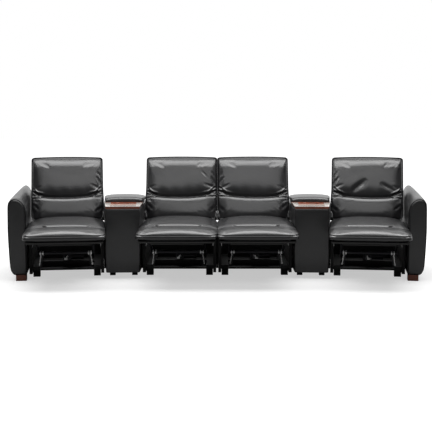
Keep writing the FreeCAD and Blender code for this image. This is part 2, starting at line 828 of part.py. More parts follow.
def console_outline(start, length, inset):
    """A wedge's four corners between two depths, as pairs of formulas."""
    near = f"(console_width / 2 - ({inset}) + ({start}) * {CONSOLE_FLARE})"
    far = f"(console_width / 2 - ({inset}) + ({start} + {length}) * {CONSOLE_FLARE})"
    return [(f"-{near}", start), (near, start), (far, f"{start} + {length}"),
            (f"-{far}", f"{start} + {length}")]


def console_body():
    """Wedge-shaped box with its storage bin and the fixed knuckles of the lid's hinge."""
    solid = polygon_prism(console_outline("0", "console_depth", "0"), "console_low_z",
                          "console_top - console_low_z")
    hollow = box(("-bin_width / 2", "bin_start", "bin_floor"),
                 ("bin_width", "bin_length", "console_top - bin_floor + 5"))
    knuckles = [
        cylinder("knuckle_radius", "knuckle_length",
                 (f"{place_x} - knuckle_length / 2", "tray_depth + lid_gap + lid_length + 7",
                  "console_top + 3"))
        for place_x in ("-60", "60")]
    return fuse([cut(solid, [hollow])] + knuckles)


def console_tray():
    """Wooden tray with a shallow rectangular recess."""
    slab = polygon_prism(console_outline("0", "tray_depth", "0"), "console_top", "tray_thick")
    recess = box(("-recess_width / 2", "recess_start", "console_top + tray_thick - recess_depth"),
                 ("recess_width", "recess_length", "recess_depth + 5"))
    return cut(slab, [recess])


def console_lid():
    """Padded lid over the bin, crowned and rolled at its edges."""
    start = size("tray_depth") + size("lid_gap")
    rear = start + size("lid_length")
    low = size("console_top") + size("seat_clearance")
    high = size("console_top") + size("lid_thick")
    flare = math.tan(math.radians(size("wedge_turn") / 2))
    wires = []
    for y, inset, drop, arch in (
        (start, 8, 20, 3), (start + 8, 4, 10, 4), (start + 30, 2, 3, 6),
        ((start + rear) / 2, 2, 0, 8), (rear - 30, 2, 4, 6), (rear - 6, 5, 16, 3), (rear, 8, 26, 2),
    ):
        x = size("console_width") / 2 + y * flare - inset - 3
        edge = high - drop - 8
        wires.append(Part.Wire([
            line(Vec(-x, y, low), Vec(x, y, low)),
            arc(Vec(x, y, low), Vec(x + 3, y, (low + edge) / 2), Vec(x, y, edge)),
            arc(Vec(x, y, edge), Vec(0, y, edge + arch), Vec(-x, y, edge)),
            arc(Vec(-x, y, edge), Vec(-x - 3, y, (low + edge) / 2), Vec(-x, y, low)),
        ]))
    return feature(loft(wires))


def lean_back(item):
    """The back's pieces, carried to the pivot and leaned."""
    return moved(item, ("0", "back_pivot_y", "back_pivot_z"), "-back_lean")


SEAT_PARTS = {
    "frame": seat_frame(),
    "cushion": seat_cushion(),
    "back_frame": lean_back(back_frame()),
    "back_cushion": lean_back(back_cushion()),
    "footrest_board": footrest_board(),
    "footrest_pad": footrest_pad(),
    "link_lower_rear": link_lower_rear(),
    "link_lower_front": link_lower_front(),
    "link_upper_rear": link_upper_rear(),
    "link_upper_front": link_upper_front(),
    "drive_rod": drive_rod(),
}
BASE_PARTS = {
    "base_side_panels": base_side_panels(),
    "glide_rails": glide_rail(),
    "drive_motors": drive_motor(),
}

for number, frame in SEATS.items():
    for name, item in SEAT_PARTS.items():
        node(f"seat_{number}_{name}", in_row(item, frame))

for name, item in BASE_PARTS.items():
    node(name, group([in_row(item, frame) for frame in SEATS.values()]))

rail_set = base_rails()
node("base_rails", group([
    in_row(group([rail_set, spacers(number)]), frame) for number, frame in SEATS.items()]))

foot_set = feet()
small_foot_set = console_feet()
node("base_feet", group(
    [in_row(foot_set, frame) for frame in SEATS.values()]
    + [in_row(small_foot_set, frame) for frame in CONSOLES.values()]))

node("left_arm", in_row(arm(-1), SEATS[1]))
node("right_arm", in_row(arm(1), SEATS[4]))
node("arm_front_panels", group([
    in_row(arm_front_panel(-1), SEATS[1]), in_row(arm_front_panel(1), SEATS[4])]))
node("arm_legs", group([in_row(arm_legs(-1), SEATS[1]), in_row(arm_legs(1), SEATS[4])]))

node("control_panels", group([
    in_row(touch_panel(-1, "arm_inner_x"), SEATS[1]),
    in_row(touch_panel(-1, CONSOLE_FACE), SEATS[2]),
    in_row(touch_panel(1, CONSOLE_FACE), SEATS[3]),
    in_row(touch_panel(1, "arm_inner_x"), SEATS[4]),
]))

console_parts = {"body": console_body(), "tray": console_tray(), "lid": console_lid()}
for number, frame in CONSOLES.items():
    for name, item in console_parts.items():
        node(f"console_{number}_{name}", in_row(item, frame))

doc.recompute()

for item in doc.Objects:
    if "Invalid" in item.State or "Error" in item.State:
        raise RuntimeError(f"{item.Label} ({item.Name}) has failed: {item.State}")
for item in NODES:
    if item.Shape.isNull() or not item.Shape.isValid():
        raise RuntimeError(f"{item.Label} has no valid shape")

os.makedirs("parts", exist_ok=True)
for item in NODES:
    item.Shape.exportStep(f"parts/{item.Label}.step")
    bounds = item.Shape.BoundBox
    print(f"{item.Label:28s} {bounds.XLength:8.1f} {bounds.YLength:8.1f} {bounds.ZLength:8.1f}")
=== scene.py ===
import math

import bmesh
import bpy
import numpy as np
from bpy.props import FloatProperty, FloatVectorProperty, PointerProperty
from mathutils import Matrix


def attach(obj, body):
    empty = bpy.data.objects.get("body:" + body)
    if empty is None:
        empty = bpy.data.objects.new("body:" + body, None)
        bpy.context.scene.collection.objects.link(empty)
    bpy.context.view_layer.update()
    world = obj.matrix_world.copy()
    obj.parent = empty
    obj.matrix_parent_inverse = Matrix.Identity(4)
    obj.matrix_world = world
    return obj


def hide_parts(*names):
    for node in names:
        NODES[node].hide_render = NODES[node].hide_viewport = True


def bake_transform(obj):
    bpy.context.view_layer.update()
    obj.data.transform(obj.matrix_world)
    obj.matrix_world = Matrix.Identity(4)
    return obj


bl_info = {
    "name": "Cinema row finish",
    "version": (1, 0, 0),
    "blender": (4, 5, 0),
    "location": "View3D > Sidebar > Cinema row",
    "description": "Leather, lacquer and steel for a row of four cinema recliners",
    "category": "Object",
}

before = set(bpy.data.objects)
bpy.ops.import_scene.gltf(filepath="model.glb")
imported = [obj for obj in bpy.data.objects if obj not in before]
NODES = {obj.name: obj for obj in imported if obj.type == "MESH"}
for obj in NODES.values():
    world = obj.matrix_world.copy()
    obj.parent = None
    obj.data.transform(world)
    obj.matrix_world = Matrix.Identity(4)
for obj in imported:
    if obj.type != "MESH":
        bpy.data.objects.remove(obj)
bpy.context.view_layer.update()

# The row's plan, as in the part's source: pitch of two seats, pitch of a console, turn, front line
SEAT_PITCH = 0.6
CONSOLE_PITCH = 0.2733
WEDGE = math.radians(7.2)
FRONT_LINE = -0.1
SEATS = (1, 2, 3, 4)
CONSOLES = (1, 2)
SIDES = ((-1, "left"), (1, "right"))
NEIGHBOURS = {1: ("arm", "console"), 2: ("console", "seat"), 3: ("seat", "console"),
              4: ("console", "arm")}
# A back's hinge in its seat (y and z), its lean, how far its top rises and its sides grow
BACK_PIVOT = (0.505, 0.395)
BACK_LEAN = math.radians(21)
BACK_LIFT, BACK_REACH = 0.015, 0.0072
# Half widths: what a seat may fill beside its neighbour, a back cushion, a seat pad
TOUCH, BACK_HALF, PAD_HALF = 0.2999, 0.287, 0.2945
# Points round a cord, points of a fine curve, points in a span and in a rounded corner
CORD_SIDES, FINE, SPAN, CORNER = 10, 4001, 24, 8
# The cloth simulation's frames, steps per frame and bending stiffness
CLOTH_FRAMES, CLOTH_QUALITY, CLOTH_BENDING = 20, 4, 0.6


def seat_place(number):
    """A seat's x, y and turn: the outer seats swing in by the wedge round their console."""
    if number in (2, 3):
        return ((number - 2.5) * SEAT_PITCH, FRONT_LINE, 0.0)
    side = -1 if number == 1 else 1
    reach = SEAT_PITCH + CONSOLE_PITCH * math.cos(WEDGE / 2) + SEAT_PITCH / 2 * math.cos(WEDGE)
    depth = CONSOLE_PITCH * math.sin(WEDGE / 2) + SEAT_PITCH / 2 * math.sin(WEDGE)
    return (side * reach, FRONT_LINE - depth, -side * WEDGE)


def console_place(number):
    """A console's x, y and turn: half the wedge, half the console's pitch out from the seat."""
    side = -1 if number == 1 else 1
    return (side * (SEAT_PITCH + CONSOLE_PITCH / 2 * math.cos(WEDGE / 2)),
            FRONT_LINE - CONSOLE_PITCH / 2 * math.sin(WEDGE / 2), -side * WEDGE / 2)


def in_row(points, place):
    """Points turned about the vertical and carried to a place: the plane rotation formula."""
    points = np.asarray(points, float)
    x, y, turn = place
    cos, sin = math.cos(turn), math.sin(turn)
    return np.stack([x + points[..., 0] * cos - points[..., 1] * sin,
                     y + points[..., 0] * sin + points[..., 1] * cos, points[..., 2]], -1)


def on_back(points, number):
    """Points of a back (across, rearward, up the back) leaned about the pivot to the seat's axes.

    First the top is lifted, most in its middle, and the sides grow by eased steps: the whole side
    that meets a seat, and the lower part of a side that meets a console."""
    x, d, h = np.moveaxis(np.asarray(points, float), -1, 0)
    lift = BACK_LIFT * smoothstep(0.38, 0.54, h) * (1 - 0.5 * (x / 0.29) ** 2)
    grown = 0 * x
    for side, neighbour in zip((-1, 1), NEIGHBOURS[number]):
        high = {"seat": 1.0, "console": smoothstep(0.30, 0.12, h), "arm": 0.0}[neighbour]
        grown = grown + side * BACK_REACH * high * smoothstep(0.14, 0.285, side * x)
    x, h = np.clip(x + grown, -TOUCH, TOUCH), h + lift
    cos, sin = math.cos(BACK_LEAN), math.sin(BACK_LEAN)
    return np.stack([x, BACK_PIVOT[0] + d * cos + h * sin, BACK_PIVOT[1] + h * cos - d * sin], -1)


def smoothstep(low, high, value):
    """0 below low, 1 above high and 3t2 - 2t3 between."""
    t = np.clip((value - low) / (high - low), 0, 1)
    return t * t * (3 - 2 * t)


def ridge(distance, width):
    """A bell: e to the minus square of distance over width."""
    return np.exp(-(distance / width) ** 2)


def evenly(points, count, endpoint=True, measured=(0, 1)):
    """Points resampled at even steps of their run, which is measured in two of their columns."""
    points = np.asarray(points, float)
    first, second = np.diff(points[:, measured], axis=0).T
    run = np.concatenate([[0], np.cumsum(np.hypot(first, second))])
    even = np.linspace(0, run[-1], count, endpoint=endpoint)
    return np.stack([np.interp(even, run, column) for column in points.T], -1)


def superellipse(count, power):
    """Unit superellipse |x|^n + |z|^n = 1, sampled at even arc length; columns x and z."""
    t = np.linspace(0, 2 * math.pi, FINE)
    x, z = (np.sign(v) * np.abs(v) ** (2 / power) for v in (np.cos(t), np.sin(t)))
    return evenly(np.stack([x, z], -1), count, endpoint=False)


def through(points, count):
    """A closed Catmull-Rom curve: each span a cubic of its four neighbours, at even length."""
    a, b, c, d = (np.roll(points, -k, 0)[:, None] for k in (-1, 0, 1, 2))
    t = np.linspace(0, 1, SPAN, endpoint=False)[None, :, None]
    curve = 0.5 * (2 * b + (c - a) * t + (2 * a - 5 * b + 4 * c - d) * t ** 2
                   + (3 * b - 3 * c + d - a) * t ** 3)
    return evenly(np.concatenate([curve.reshape(-1, 2), points[:1]]), count, endpoint=False)


def loops_to_mesh(loops, ring=False):
    """Vertices and faces of loops joined in order, closed by a pole at each end or into a ring."""
    loops = np.asarray(loops, float)
    rows, columns = loops.shape[:2]
    verts = loops.reshape(-1, 3)
    here = np.arange(rows * columns).reshape(rows, columns)
    beside = np.roll(here, -1, 1)
    quads = np.stack([here, beside, np.roll(beside, -1, 0), np.roll(here, -1, 0)], -1)
    if ring:
        return verts, quads.reshape(-1, 4).tolist()
    faces = quads[:-1].reshape(-1, 4).tolist()
    verts = np.concatenate([verts, [loops[0].mean(0)], [loops[-1].mean(0)]])
    first, final = np.full(columns, rows * columns), np.full(columns, rows * columns + 1)
    faces += np.stack([first, beside[0], here[0]], -1).tolist()
    faces += np.stack([final, here[-1], beside[-1]], -1).tolist()
    return verts, faces


def carried(path, section, up=(0, 0, 1), closed=False):
    """A flat section carried along a path; each loop is path + section across + section up."""
    path = np.asarray(path, float)
    section = np.asarray(section, float)
    if closed:
        along = np.roll(path, -1, 0) - np.roll(path, 1, 0)
    else:
        along = np.gradient(path, axis=0)
    along /= np.linalg.norm(along, axis=1, keepdims=True)
    across = np.cross(along, np.broadcast_to(np.asarray(up, float), along.shape))
    across /= np.maximum(np.linalg.norm(across, axis=1, keepdims=True), 1e-9)
    rise = np.cross(across, along)
    loops = (path[:, None] + section[None, :, 0, None] * across[:, None]
             + section[None, :, 1, None] * rise[:, None])
    return loops_to_mesh(loops, closed)


def cord_round(radius):
    """A circle's points: radius times cosine and sine."""
    t = np.linspace(0, 2 * math.pi, CORD_SIDES, endpoint=False)
    return np.stack([radius * np.cos(t), radius * np.sin(t)], -1)


def turned(profile, start, axis, count=24):
    """A profile of (radius, along) turned round an axis from start, closed at both ends."""
    start = np.asarray(start, float)
    axis = np.asarray(axis, float) / np.linalg.norm(axis)
    side = np.cross(axis, (0, 0, 1.0) if abs(axis[2]) < 0.9 else (1.0, 0, 0))
    side /= np.linalg.norm(side)
    other = np.cross(axis, side)
    t = np.linspace(0, 2 * math.pi, count, endpoint=False)
    rim = np.cos(t)[:, None] * side + np.sin(t)[:, None] * other
    profile = np.asarray(profile, float)
    loops = start + profile[:, 1, None, None] * axis + profile[:, 0, None, None] * rim[None]
    return loops_to_mesh(loops)


def together(parts):
    """Several vertex and face lists as one."""
    verts, faces, shift = [], [], 0
    for part_verts, part_faces in parts:
        verts.append(np.asarray(part_verts, float))
        faces += [[v + shift for v in face] for face in part_faces]
        shift += len(part_verts)
    return np.concatenate(verts), faces


def new_mesh(name, verts, faces, fix=True):
    """A mesh of these vertices and faces, smooth, with its faces turned outwards."""
    mesh = bpy.data.meshes.new(name)
    mesh.from_pydata(np.asarray(verts).tolist(), [], [list(f) for f in faces])
    if fix:
        work = bmesh.new()
        work.from_mesh(mesh)
        bmesh.ops.remove_doubles(work, verts=work.verts, dist=1e-6)
        bmesh.ops.recalc_face_normals(work, faces=work.faces)
        work.to_mesh(mesh)
        work.free()
    mesh.polygons.foreach_set("use_smooth", np.ones(len(mesh.polygons), bool))
    mesh.update()
    return mesh


def piece(name, form, place, material, body=None, sharp=None, fix=True):
    """A finished piece from vertices and faces in the axes of its place, riding on a body. Its rest
    place is kept in an attribute for the grain."""
    mesh = new_mesh(name, in_row(form[0], place), form[1], fix)
    co = np.zeros(len(mesh.vertices) * 3, np.float32)
    mesh.vertices.foreach_get("co", co)
    mesh.attributes.new("hide_place", "FLOAT_VECTOR", "POINT").data.foreach_set("vector", co)
    if sharp is not None:
        mesh.set_sharp_from_angle(angle=math.radians(sharp))
    mesh.materials.append(material)
    obj = bpy.data.objects.new(name, mesh)
    bpy.context.scene.collection.objects.link(obj)
    if body:
        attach(obj, body)
    return obj


def dress(node, material):
    """Gives a CAD node one material."""
    node.data.materials.clear()
    node.data.materials.append(material)


# Materials


def add(tree, kind, output, links, numbers=(), **settings):
    """Adds a shader node, links and sets its inputs by name or place, and gives one output."""
    node = tree.nodes.new("ShaderNode" + kind)
    for name, value in settings.items():
        setattr(node, name, value)
    for name, number in dict(numbers).items():
        node.inputs[name].default_value = number
    for name, source in links.items():
        tree.links.new(source, node.inputs[name])
    return node.outputs[output]


def spread(tree, value, *numbers, **settings):
    """A value mapped from one range (low, high) to another, with its ends clamped."""
    names = ("From Min", "From Max", "To Min", "To Max")
    return add(tree, "MapRange", "Result", {"Value": value}, zip(names, numbers), **settings)


class Finish:
    """A procedural material under construction: its node tree, its coordinates and its shader."""

    def __init__(self, name, on_piece):
        self.material = bpy.data.materials.get(name)
        self.ready = self.material is not None
        if self.ready:
            return
        self.material = bpy.data.materials.new(name)
        self.material.use_nodes = True
        self.tree = self.material.node_tree
        self.shader = self.tree.nodes["Principled BSDF"]
        if on_piece:
            self.where = self.node("Attribute", "Vector", {}, attribute_name="hide_place")
        else:
            self.where = self.node("TexCoord", "Object", {})

    def node(self, *what, **settings):
        """A node in this material's tree; what add says of kind, output, links and numbers."""
        return add(self.tree, *what, **settings)

    def spread(self, value, *numbers, **settings):
        """A value mapped from one range to another."""
        return spread(self.tree, value, *numbers, **settings)

    def stretch(self, scale):
        """The place, scaled along each axis."""
        return self.node("Mapping", "Vector", {"Vector": self.where}, {"Scale": scale})

    def noise(self, scale, detail=2.0, rough=0.5, where=None, warp=0.0):
        """Fractal noise."""
        return self.node("TexNoise", "Fac", {"Vector": where or self.where},
                         {"Scale": scale, "Detail": detail, "Roughness": rough, "Distortion": warp})

    def cells(self, scale, feature="DISTANCE_TO_EDGE"):
        """Voronoi cells, as the distance to an edge or to a centre."""
        return self.node("TexVoronoi", "Distance", {"Vector": self.where}, {"Scale": scale},
                         feature=feature)

    def ramp(self, value, stops):
        """Colours blended between stops of a value."""
        node = self.tree.nodes.new("ShaderNodeValToRGB")
        elements = node.color_ramp.elements
        while len(elements) < len(stops):
            elements.new(0.5)
        for element, (position, colour) in zip(elements, stops):
            element.position = position
            element.color = (*colour, 1)
        self.tree.links.new(value, node.inputs["Fac"])
        return node.outputs["Color"]

    def maths(self, kind, first, second):
        """A value put together with another value or with a number."""
        if isinstance(second, float):
            return self.node("Math", "Value", {0: first}, {1: second}, operation=kind)
        return self.node("Math", "Value", {0: first, 1: second}, operation=kind)

    def bump(self, height, distance, strength=1.0, below=None):
        """Relief from a height in metres, laid over the relief below it."""
        links = {"Height": height} if below is None else {"Height": height, "Normal": below}
        return self.node("Bump", "Normal", links, {"Distance": distance, "Strength": strength})

    def finish(self, colour, rough, normal=None, **constants):
        """Links or sets the shader's sockets and gives the material."""
        for socket, value in (("Base Color", colour), ("Roughness", rough), ("Normal", normal)):
            if isinstance(value, (int, float)):
                self.shader.inputs[socket].default_value = value
            elif value is not None:
                self.tree.links.new(value, self.shader.inputs[socket])
        for socket, value in constants.items():
            socket = socket.replace("_", " ").title().replace("Ior", "IOR")
            self.shader.inputs[socket].default_value = value
        return self.material


def chosen(name):
    """One of the colours that the panel shows."""
    return tuple(getattr(bpy.context.scene.cinema_row_colours, name))


def shade(colour, factor):
    """A colour made darker or lighter by a factor."""
    return tuple(min(1.0, c * factor) for c in colour)


def leather(on_piece=True):
    """Black grained leather: pebbles of about 2 mm, fine pores, slow drift of colour and gloss."""
    made = Finish("leather_on_pieces" if on_piece else "leather_on_nodes", on_piece)
    if made.ready:
        return made.material
    colour = chosen("leather")
    drift = made.noise(6.0, 3.0)
    pebble = made.cells(430.0)
    pores = made.noise(1500.0, 2.0)
    tone = made.ramp(drift, [(0.3, shade(colour, 0.8)), (0.55, colour), (0.75, shade(colour, 1.3))])
    gloss = made.maths("ADD", made.spread(drift, 0.3, 0.7, 0.33, 0.42),
                       made.spread(pores, 0.3, 0.7, -0.03, 0.03))
    soft = made.bump(made.noise(45.0, 2.0), 0.0012, 0.35)
    grain = made.bump(made.spread(pebble, 0.0, 0.35, 0.0, 1.0), 0.0003, 0.5, soft)
    fine = made.bump(pores, 0.0001, 0.3, grain)
    return made.finish(tone, gloss, fine, coat_weight=0.7, coat_roughness=0.24,
                       specular_ior_level=0.6)


def stitching():
    """Waxed thread and piping: twisted strand ribs over near-black."""
    made = Finish("piping", True)
    if made.ready:
        return made.material
    colour = chosen("leather")
    ribs = made.cells(700.0)
    tone = made.ramp(made.noise(30.0), [(0.3, shade(colour, 0.9)), (0.7, shade(colour, 1.6))])
    return made.finish(tone, 0.5, made.bump(ribs, 0.0002, 0.5), specular_ior_level=0.25)


def rosewood(number):
    """Lacquered veneer: long grain across the tray, a painted reflection at its front, a coat."""
    made = Finish(f"rosewood_lacquer_{number}", False)
    if made.ready:
        return made.material
    # The pale colour stands for a painted reflection of the lamps on the lacquer
    colour, painted_reflection = chosen("rosewood"), (0.88, 0.78, 0.71)
    x, y, turn = console_place(number)
    made.where = made.node("Mapping", "Vector", {"Vector": made.where},
                           {"Location": (x, y, 0), "Rotation": (0, 0, turn)}, vector_type="TEXTURE")
    along = made.stretch((4.0, 60.0, 90.0))
    grain = made.noise(1.6, 5.0, 0.6, along, 0.6)
    broad = made.noise(3.0, 2.0, 0.5, made.stretch((3.0, 14.0, 6.0)), 0.8)
    mixed = made.maths("ADD", made.maths("MULTIPLY", grain, 0.6),
                       made.maths("MULTIPLY", broad, 0.4))
    depth, height = (made.node("SeparateXYZ", axis, {"Vector": made.where}) for axis in "YZ")
    # The tray's flat top in front of the lid is lifted to the pale stop: a painted reflection
    inside = made.maths("MULTIPLY", made.spread(depth, 0.004, 0.012, 0.0, 1.0),
                        made.spread(depth, 0.31, 0.36, 1.0, 0.0))
    flat = made.maths("MULTIPLY", inside, made.spread(height, 0.5555, 0.5575, 0.0, 1.0))
    mixed = made.maths("ADD", mixed, made.maths("MULTIPLY", flat, 0.36))
    tone = made.ramp(mixed, [(0.36, shade(colour, 0.2)), (0.46, shade(colour, 0.7)),
                             (0.55, colour), (0.68, shade(colour, 2.2)), (0.78, painted_reflection)])
    return made.finish(tone, 0.22, made.bump(grain, 0.0001, 0.15), coat_weight=1.0,
                       coat_roughness=0.04)


def leg_wood():
    """Stained wood with upright grain."""
    made = Finish("leg_wood", False)
    if made.ready:
        return made.material
    colour = chosen("legs")
    grain = made.noise(1.5, 5.0, 0.6, made.stretch((70.0, 70.0, 6.0)), 0.4)
    tone = made.ramp(grain, [(0.34, shade(colour, 0.45)), (0.52, colour),
                             (0.7, shade(colour, 1.8))])
    return made.finish(tone, made.spread(grain, 0.3, 0.7, 0.3, 0.42),
                       made.bump(grain, 0.0002, 0.3), coat_weight=0.4, coat_roughness=0.2)


def board():
    """Black lining cloth over board: a fine square weave."""
    made = Finish("black_board", False)
    if made.ready:
        return made.material
    weave = made.cells(900.0)
    drift = made.noise(12.0, 3.0)
    tone = made.ramp(drift, [(0.3, (0.003, 0.003, 0.003)), (0.7, (0.006, 0.006, 0.0062))])
    return made.finish(tone, made.spread(weave, 0.0, 0.3, 0.9, 0.7), made.bump(weave, 0.0002, 0.6),
                       specular_ior_level=0.05)


def black_steel():
    """Black powder coat: fine orange peel and slightly rubbed patches."""
    made = Finish("black_steel", False)
    if made.ready:
        return made.material
    peel = made.noise(600.0, 2.0)
    wear = made.noise(20.0, 4.0, 0.65)
    tone = made.ramp(wear, [(0.4, (0.010, 0.010, 0.011)), (0.72, (0.03, 0.03, 0.031))])
    return made.finish(tone, made.spread(wear, 0.3, 0.75, 0.5, 0.34), made.bump(peel, 0.0002, 0.4))


def zinc(on_piece):
    """Galvanised steel: pale grey metal with spangle and a brushed gloss."""
    made = Finish("zinc_on_pieces" if on_piece else "zinc_on_nodes", on_piece)
    if made.ready:
        return made.material
    colour = chosen("zinc")
    spangle = made.cells(160.0, "F1")
    tone = made.ramp(spangle, [(0.1, shade(colour, 0.75)), (0.8, shade(colour, 1.1))])
    return made.finish(tone, made.spread(made.noise(80.0, 3.0), 0.3, 0.7, 0.24, 0.42),
                       made.bump(spangle, 0.0001, 0.2), metallic=0.6)


def plastic():
    """Moulded black plastic: spark-eroded texture, a little gloss."""
    made = Finish("black_plastic", False)
    if made.ready:
        return made.material
    texture = made.noise(900.0, 2.0)
    drift = made.noise(8.0, 2.0)
    tone = made.ramp(drift, [(0.3, (0.012, 0.012, 0.012)), (0.7, (0.02, 0.02, 0.021))])
    return made.finish(tone, made.spread(texture, 0.3, 0.7, 0.42, 0.6),
                       made.bump(texture, 0.0001, 0.5))


# Padded leather: base forms, swelling, then seams and folds


def rounded_width(along, half, power):
    """Half widths of a superellipse in plan at places along it, its ends kept just open."""
    middle = (along.max() + along.min()) / 2
    reach = (along.max() - along.min()) / 2 * 1.0005
    return half * (1 - np.abs((along - middle) / reach) ** power) ** (1 / power)


def crowned(wide, low, edge, crown, unit, half):
    """Cross-sections in x and z: a unit loop between low and edge, its upper half raised by
    crown (1 - (x / half)^2)."""
    x = wide[:, None] * unit[None, :, 0]
    z = ((low + edge) / 2)[:, None] + ((edge - low) / 2)[:, None] * unit[None, :, 1]
    above = np.clip(unit[None, :, 1], 0, 1)
    return x, z + crown[:, None] * (1 - (x / half) ** 2) * above


def eased(rows, count):
    """Rows of values resampled evenly along the run of their first and third columns."""
    return evenly(rows, count, measured=(0, 2))


CHAISE = eased([
    # y, low, edge, crown: the seat from its rear, over the hinge, to the footrest's rolled front
    (0.4380, 0.380, 0.398, 0.003), (0.4360, 0.362, 0.414, 0.010), (0.4260, 0.350, 0.428, 0.017),
    (0.4000, 0.345, 0.432, 0.022), (0.3400, 0.345, 0.432, 0.024), (0.2000, 0.345, 0.432, 0.025),
    (0.0500, 0.345, 0.432, 0.022), (-0.0500, 0.345, 0.431, 0.018), (-0.1030, 0.346, 0.429, 0.014),
    (-0.1090, 0.379, 0.4285, 0.013), (-0.1300, 0.388, 0.427, 0.010), (-0.1500, 0.396, 0.423, 0.008),
    (-0.1620, 0.401, 0.420, 0.006), (-0.1680, 0.397, 0.419, 0.006), (-0.1760, 0.378, 0.421, 0.006),
    (-0.1900, 0.358, 0.425, 0.008), (-0.2200, 0.357, 0.428, 0.010), (-0.3000, 0.357, 0.430, 0.013),
    (-0.4000, 0.357, 0.430, 0.013), (-0.4400, 0.357, 0.429, 0.012), (-0.4700, 0.359, 0.426, 0.011),
    (-0.4880, 0.363, 0.420, 0.010), (-0.5000, 0.369, 0.413, 0.008), (-0.5080, 0.377, 0.404, 0.005),
    (-0.5115, 0.385, 0.394, 0.002),
], 150)

# The footrest's piping seam: its height, half width, half depth, middle and superellipse powers
SEAM_Z, SEAM_HALF, SEAM_REACH, SEAM_MIDDLE, SEAM_X, SEAM_Y = 0.4045, 0.2900, 0.4775, -0.025, 12, 14
# The tuck over the hinge: its line and depth, and the line and height of the roll behind it
TUCK_LINE, TUCK_DEPTH, ROLL_LINE, ROLL_HEIGHT = -0.166, 0.014, -0.143, 0.0085
# The back's crease: its height at the sides, its sag and its depths at the sides and in the middle
CREASE_HEIGHT, CREASE_SAG, CREASE_SIDES, CREASE_MIDDLE = 0.221, 0.031, 0.014, 0.024
# Pleats at the crease's ends: side, rise, start and depth
PLEATS = ((-1, 0.030, 0.55, 0.012), (1, 0.022, 0.45, 0.012), (-1, -0.034, 0.62, 0.009),
          (1, -0.028, 0.52, 0.010), (1, 0.062, 0.72, 0.006), (-1, 0.066, 0.78, 0.005))
# Wrinkles at the lumbar's lower corners and under the upper cushion: both ends and depth
WRINKLES = (
    ((-0.270, 0.130), (-0.215, 0.075), 0.003), ((0.275, 0.110), (0.225, 0.060), 0.003),
    ((-0.282, 0.175), (-0.225, 0.145), 0.002), ((0.270, 0.265), (0.190, 0.305), 0.003),
    ((-0.270, 0.265), (-0.200, 0.292), 0.002), ((0.282, 0.300), (0.235, 0.370), 0.004),
    ((0.285, 0.350), (0.245, 0.415), 0.003),
)
# Folds of single backs, by seat: both ends, depth and width
FOLDS = {2: (((0.225, 0.345), (0.155, 0.430), 0.004, 0.010),),
         4: (((-0.14, 0.225), (0.0, 0.345), 0.011, 0.024),
             ((0.235, 0.240), (0.10, 0.315), 0.008, 0.015))}


def chaise_form():
    """The seat and footrest pad as one closed form in the seat's axes."""
    y, low, edge, crown = CHAISE.T
    wide = rounded_width(y, PAD_HALF, 18)
    x, z = crowned(wide, low, edge, crown, superellipse(96, 4.4), PAD_HALF)
    return loops_to_mesh(np.stack([x, np.broadcast_to(y[:, None], x.shape), z], -1))


def back_form():
    """The back cushion in the back's own axes: loops of a superellipse across and through, stacked
    up the back, with its ends rounded and its front crowned."""
    levels = eased([
        # height, 0, depth, crown
        (0.002, 0, 0.024, 0.002), (0.0025, 0, 0.052, 0.004), (0.006, 0, 0.068, 0.007),
        (0.016, 0, 0.076, 0.011), (0.040, 0, 0.079, 0.014), (0.140, 0, 0.079, 0.015),
        (0.243, 0, 0.075, 0.013), (0.380, 0, 0.074, 0.014), (0.450, 0, 0.072, 0.013),
        (0.490, 0, 0.066, 0.011), (0.512, 0, 0.056, 0.008), (0.528, 0, 0.042, 0.005),
        (0.537, 0, 0.026, 0.003), (0.540, 0, 0.010, 0.001),
    ], 110)
    unit = superellipse(96, 4.5)
    h, _, depth, crown = levels.T
    x = rounded_width(h, BACK_HALF, 26)[:, None] * unit[None, :, 0]
    ahead = np.clip(unit[None, :, 1], 0, 1)
    bulge = crown[:, None] * ahead * (1 - (x / BACK_HALF) ** 2)
    d = -depth[:, None] / 2 * (1 + unit[None, :, 1]) - bulge
    return loops_to_mesh(np.stack([x, d, np.broadcast_to(h[:, None], x.shape)], -1))


def arrays_of(mesh):
    """Vertex places, vertex normals and quads of a mesh as arrays."""
    co = np.zeros(len(mesh.vertices) * 3, np.float32)
    mesh.vertices.foreach_get("co", co)
    normals = np.zeros(len(mesh.vertices) * 3, np.float32)
    mesh.vertex_normals.foreach_get("vector", normals)
    return co.reshape(-1, 3).astype(float), normals.reshape(-1, 3).astype(float)


def baked(obj):
    """The object's mesh with its modifiers in it."""
    return bpy.data.meshes.new_from_object(obj.evaluated_get(bpy.context.evaluated_depsgraph_get()))


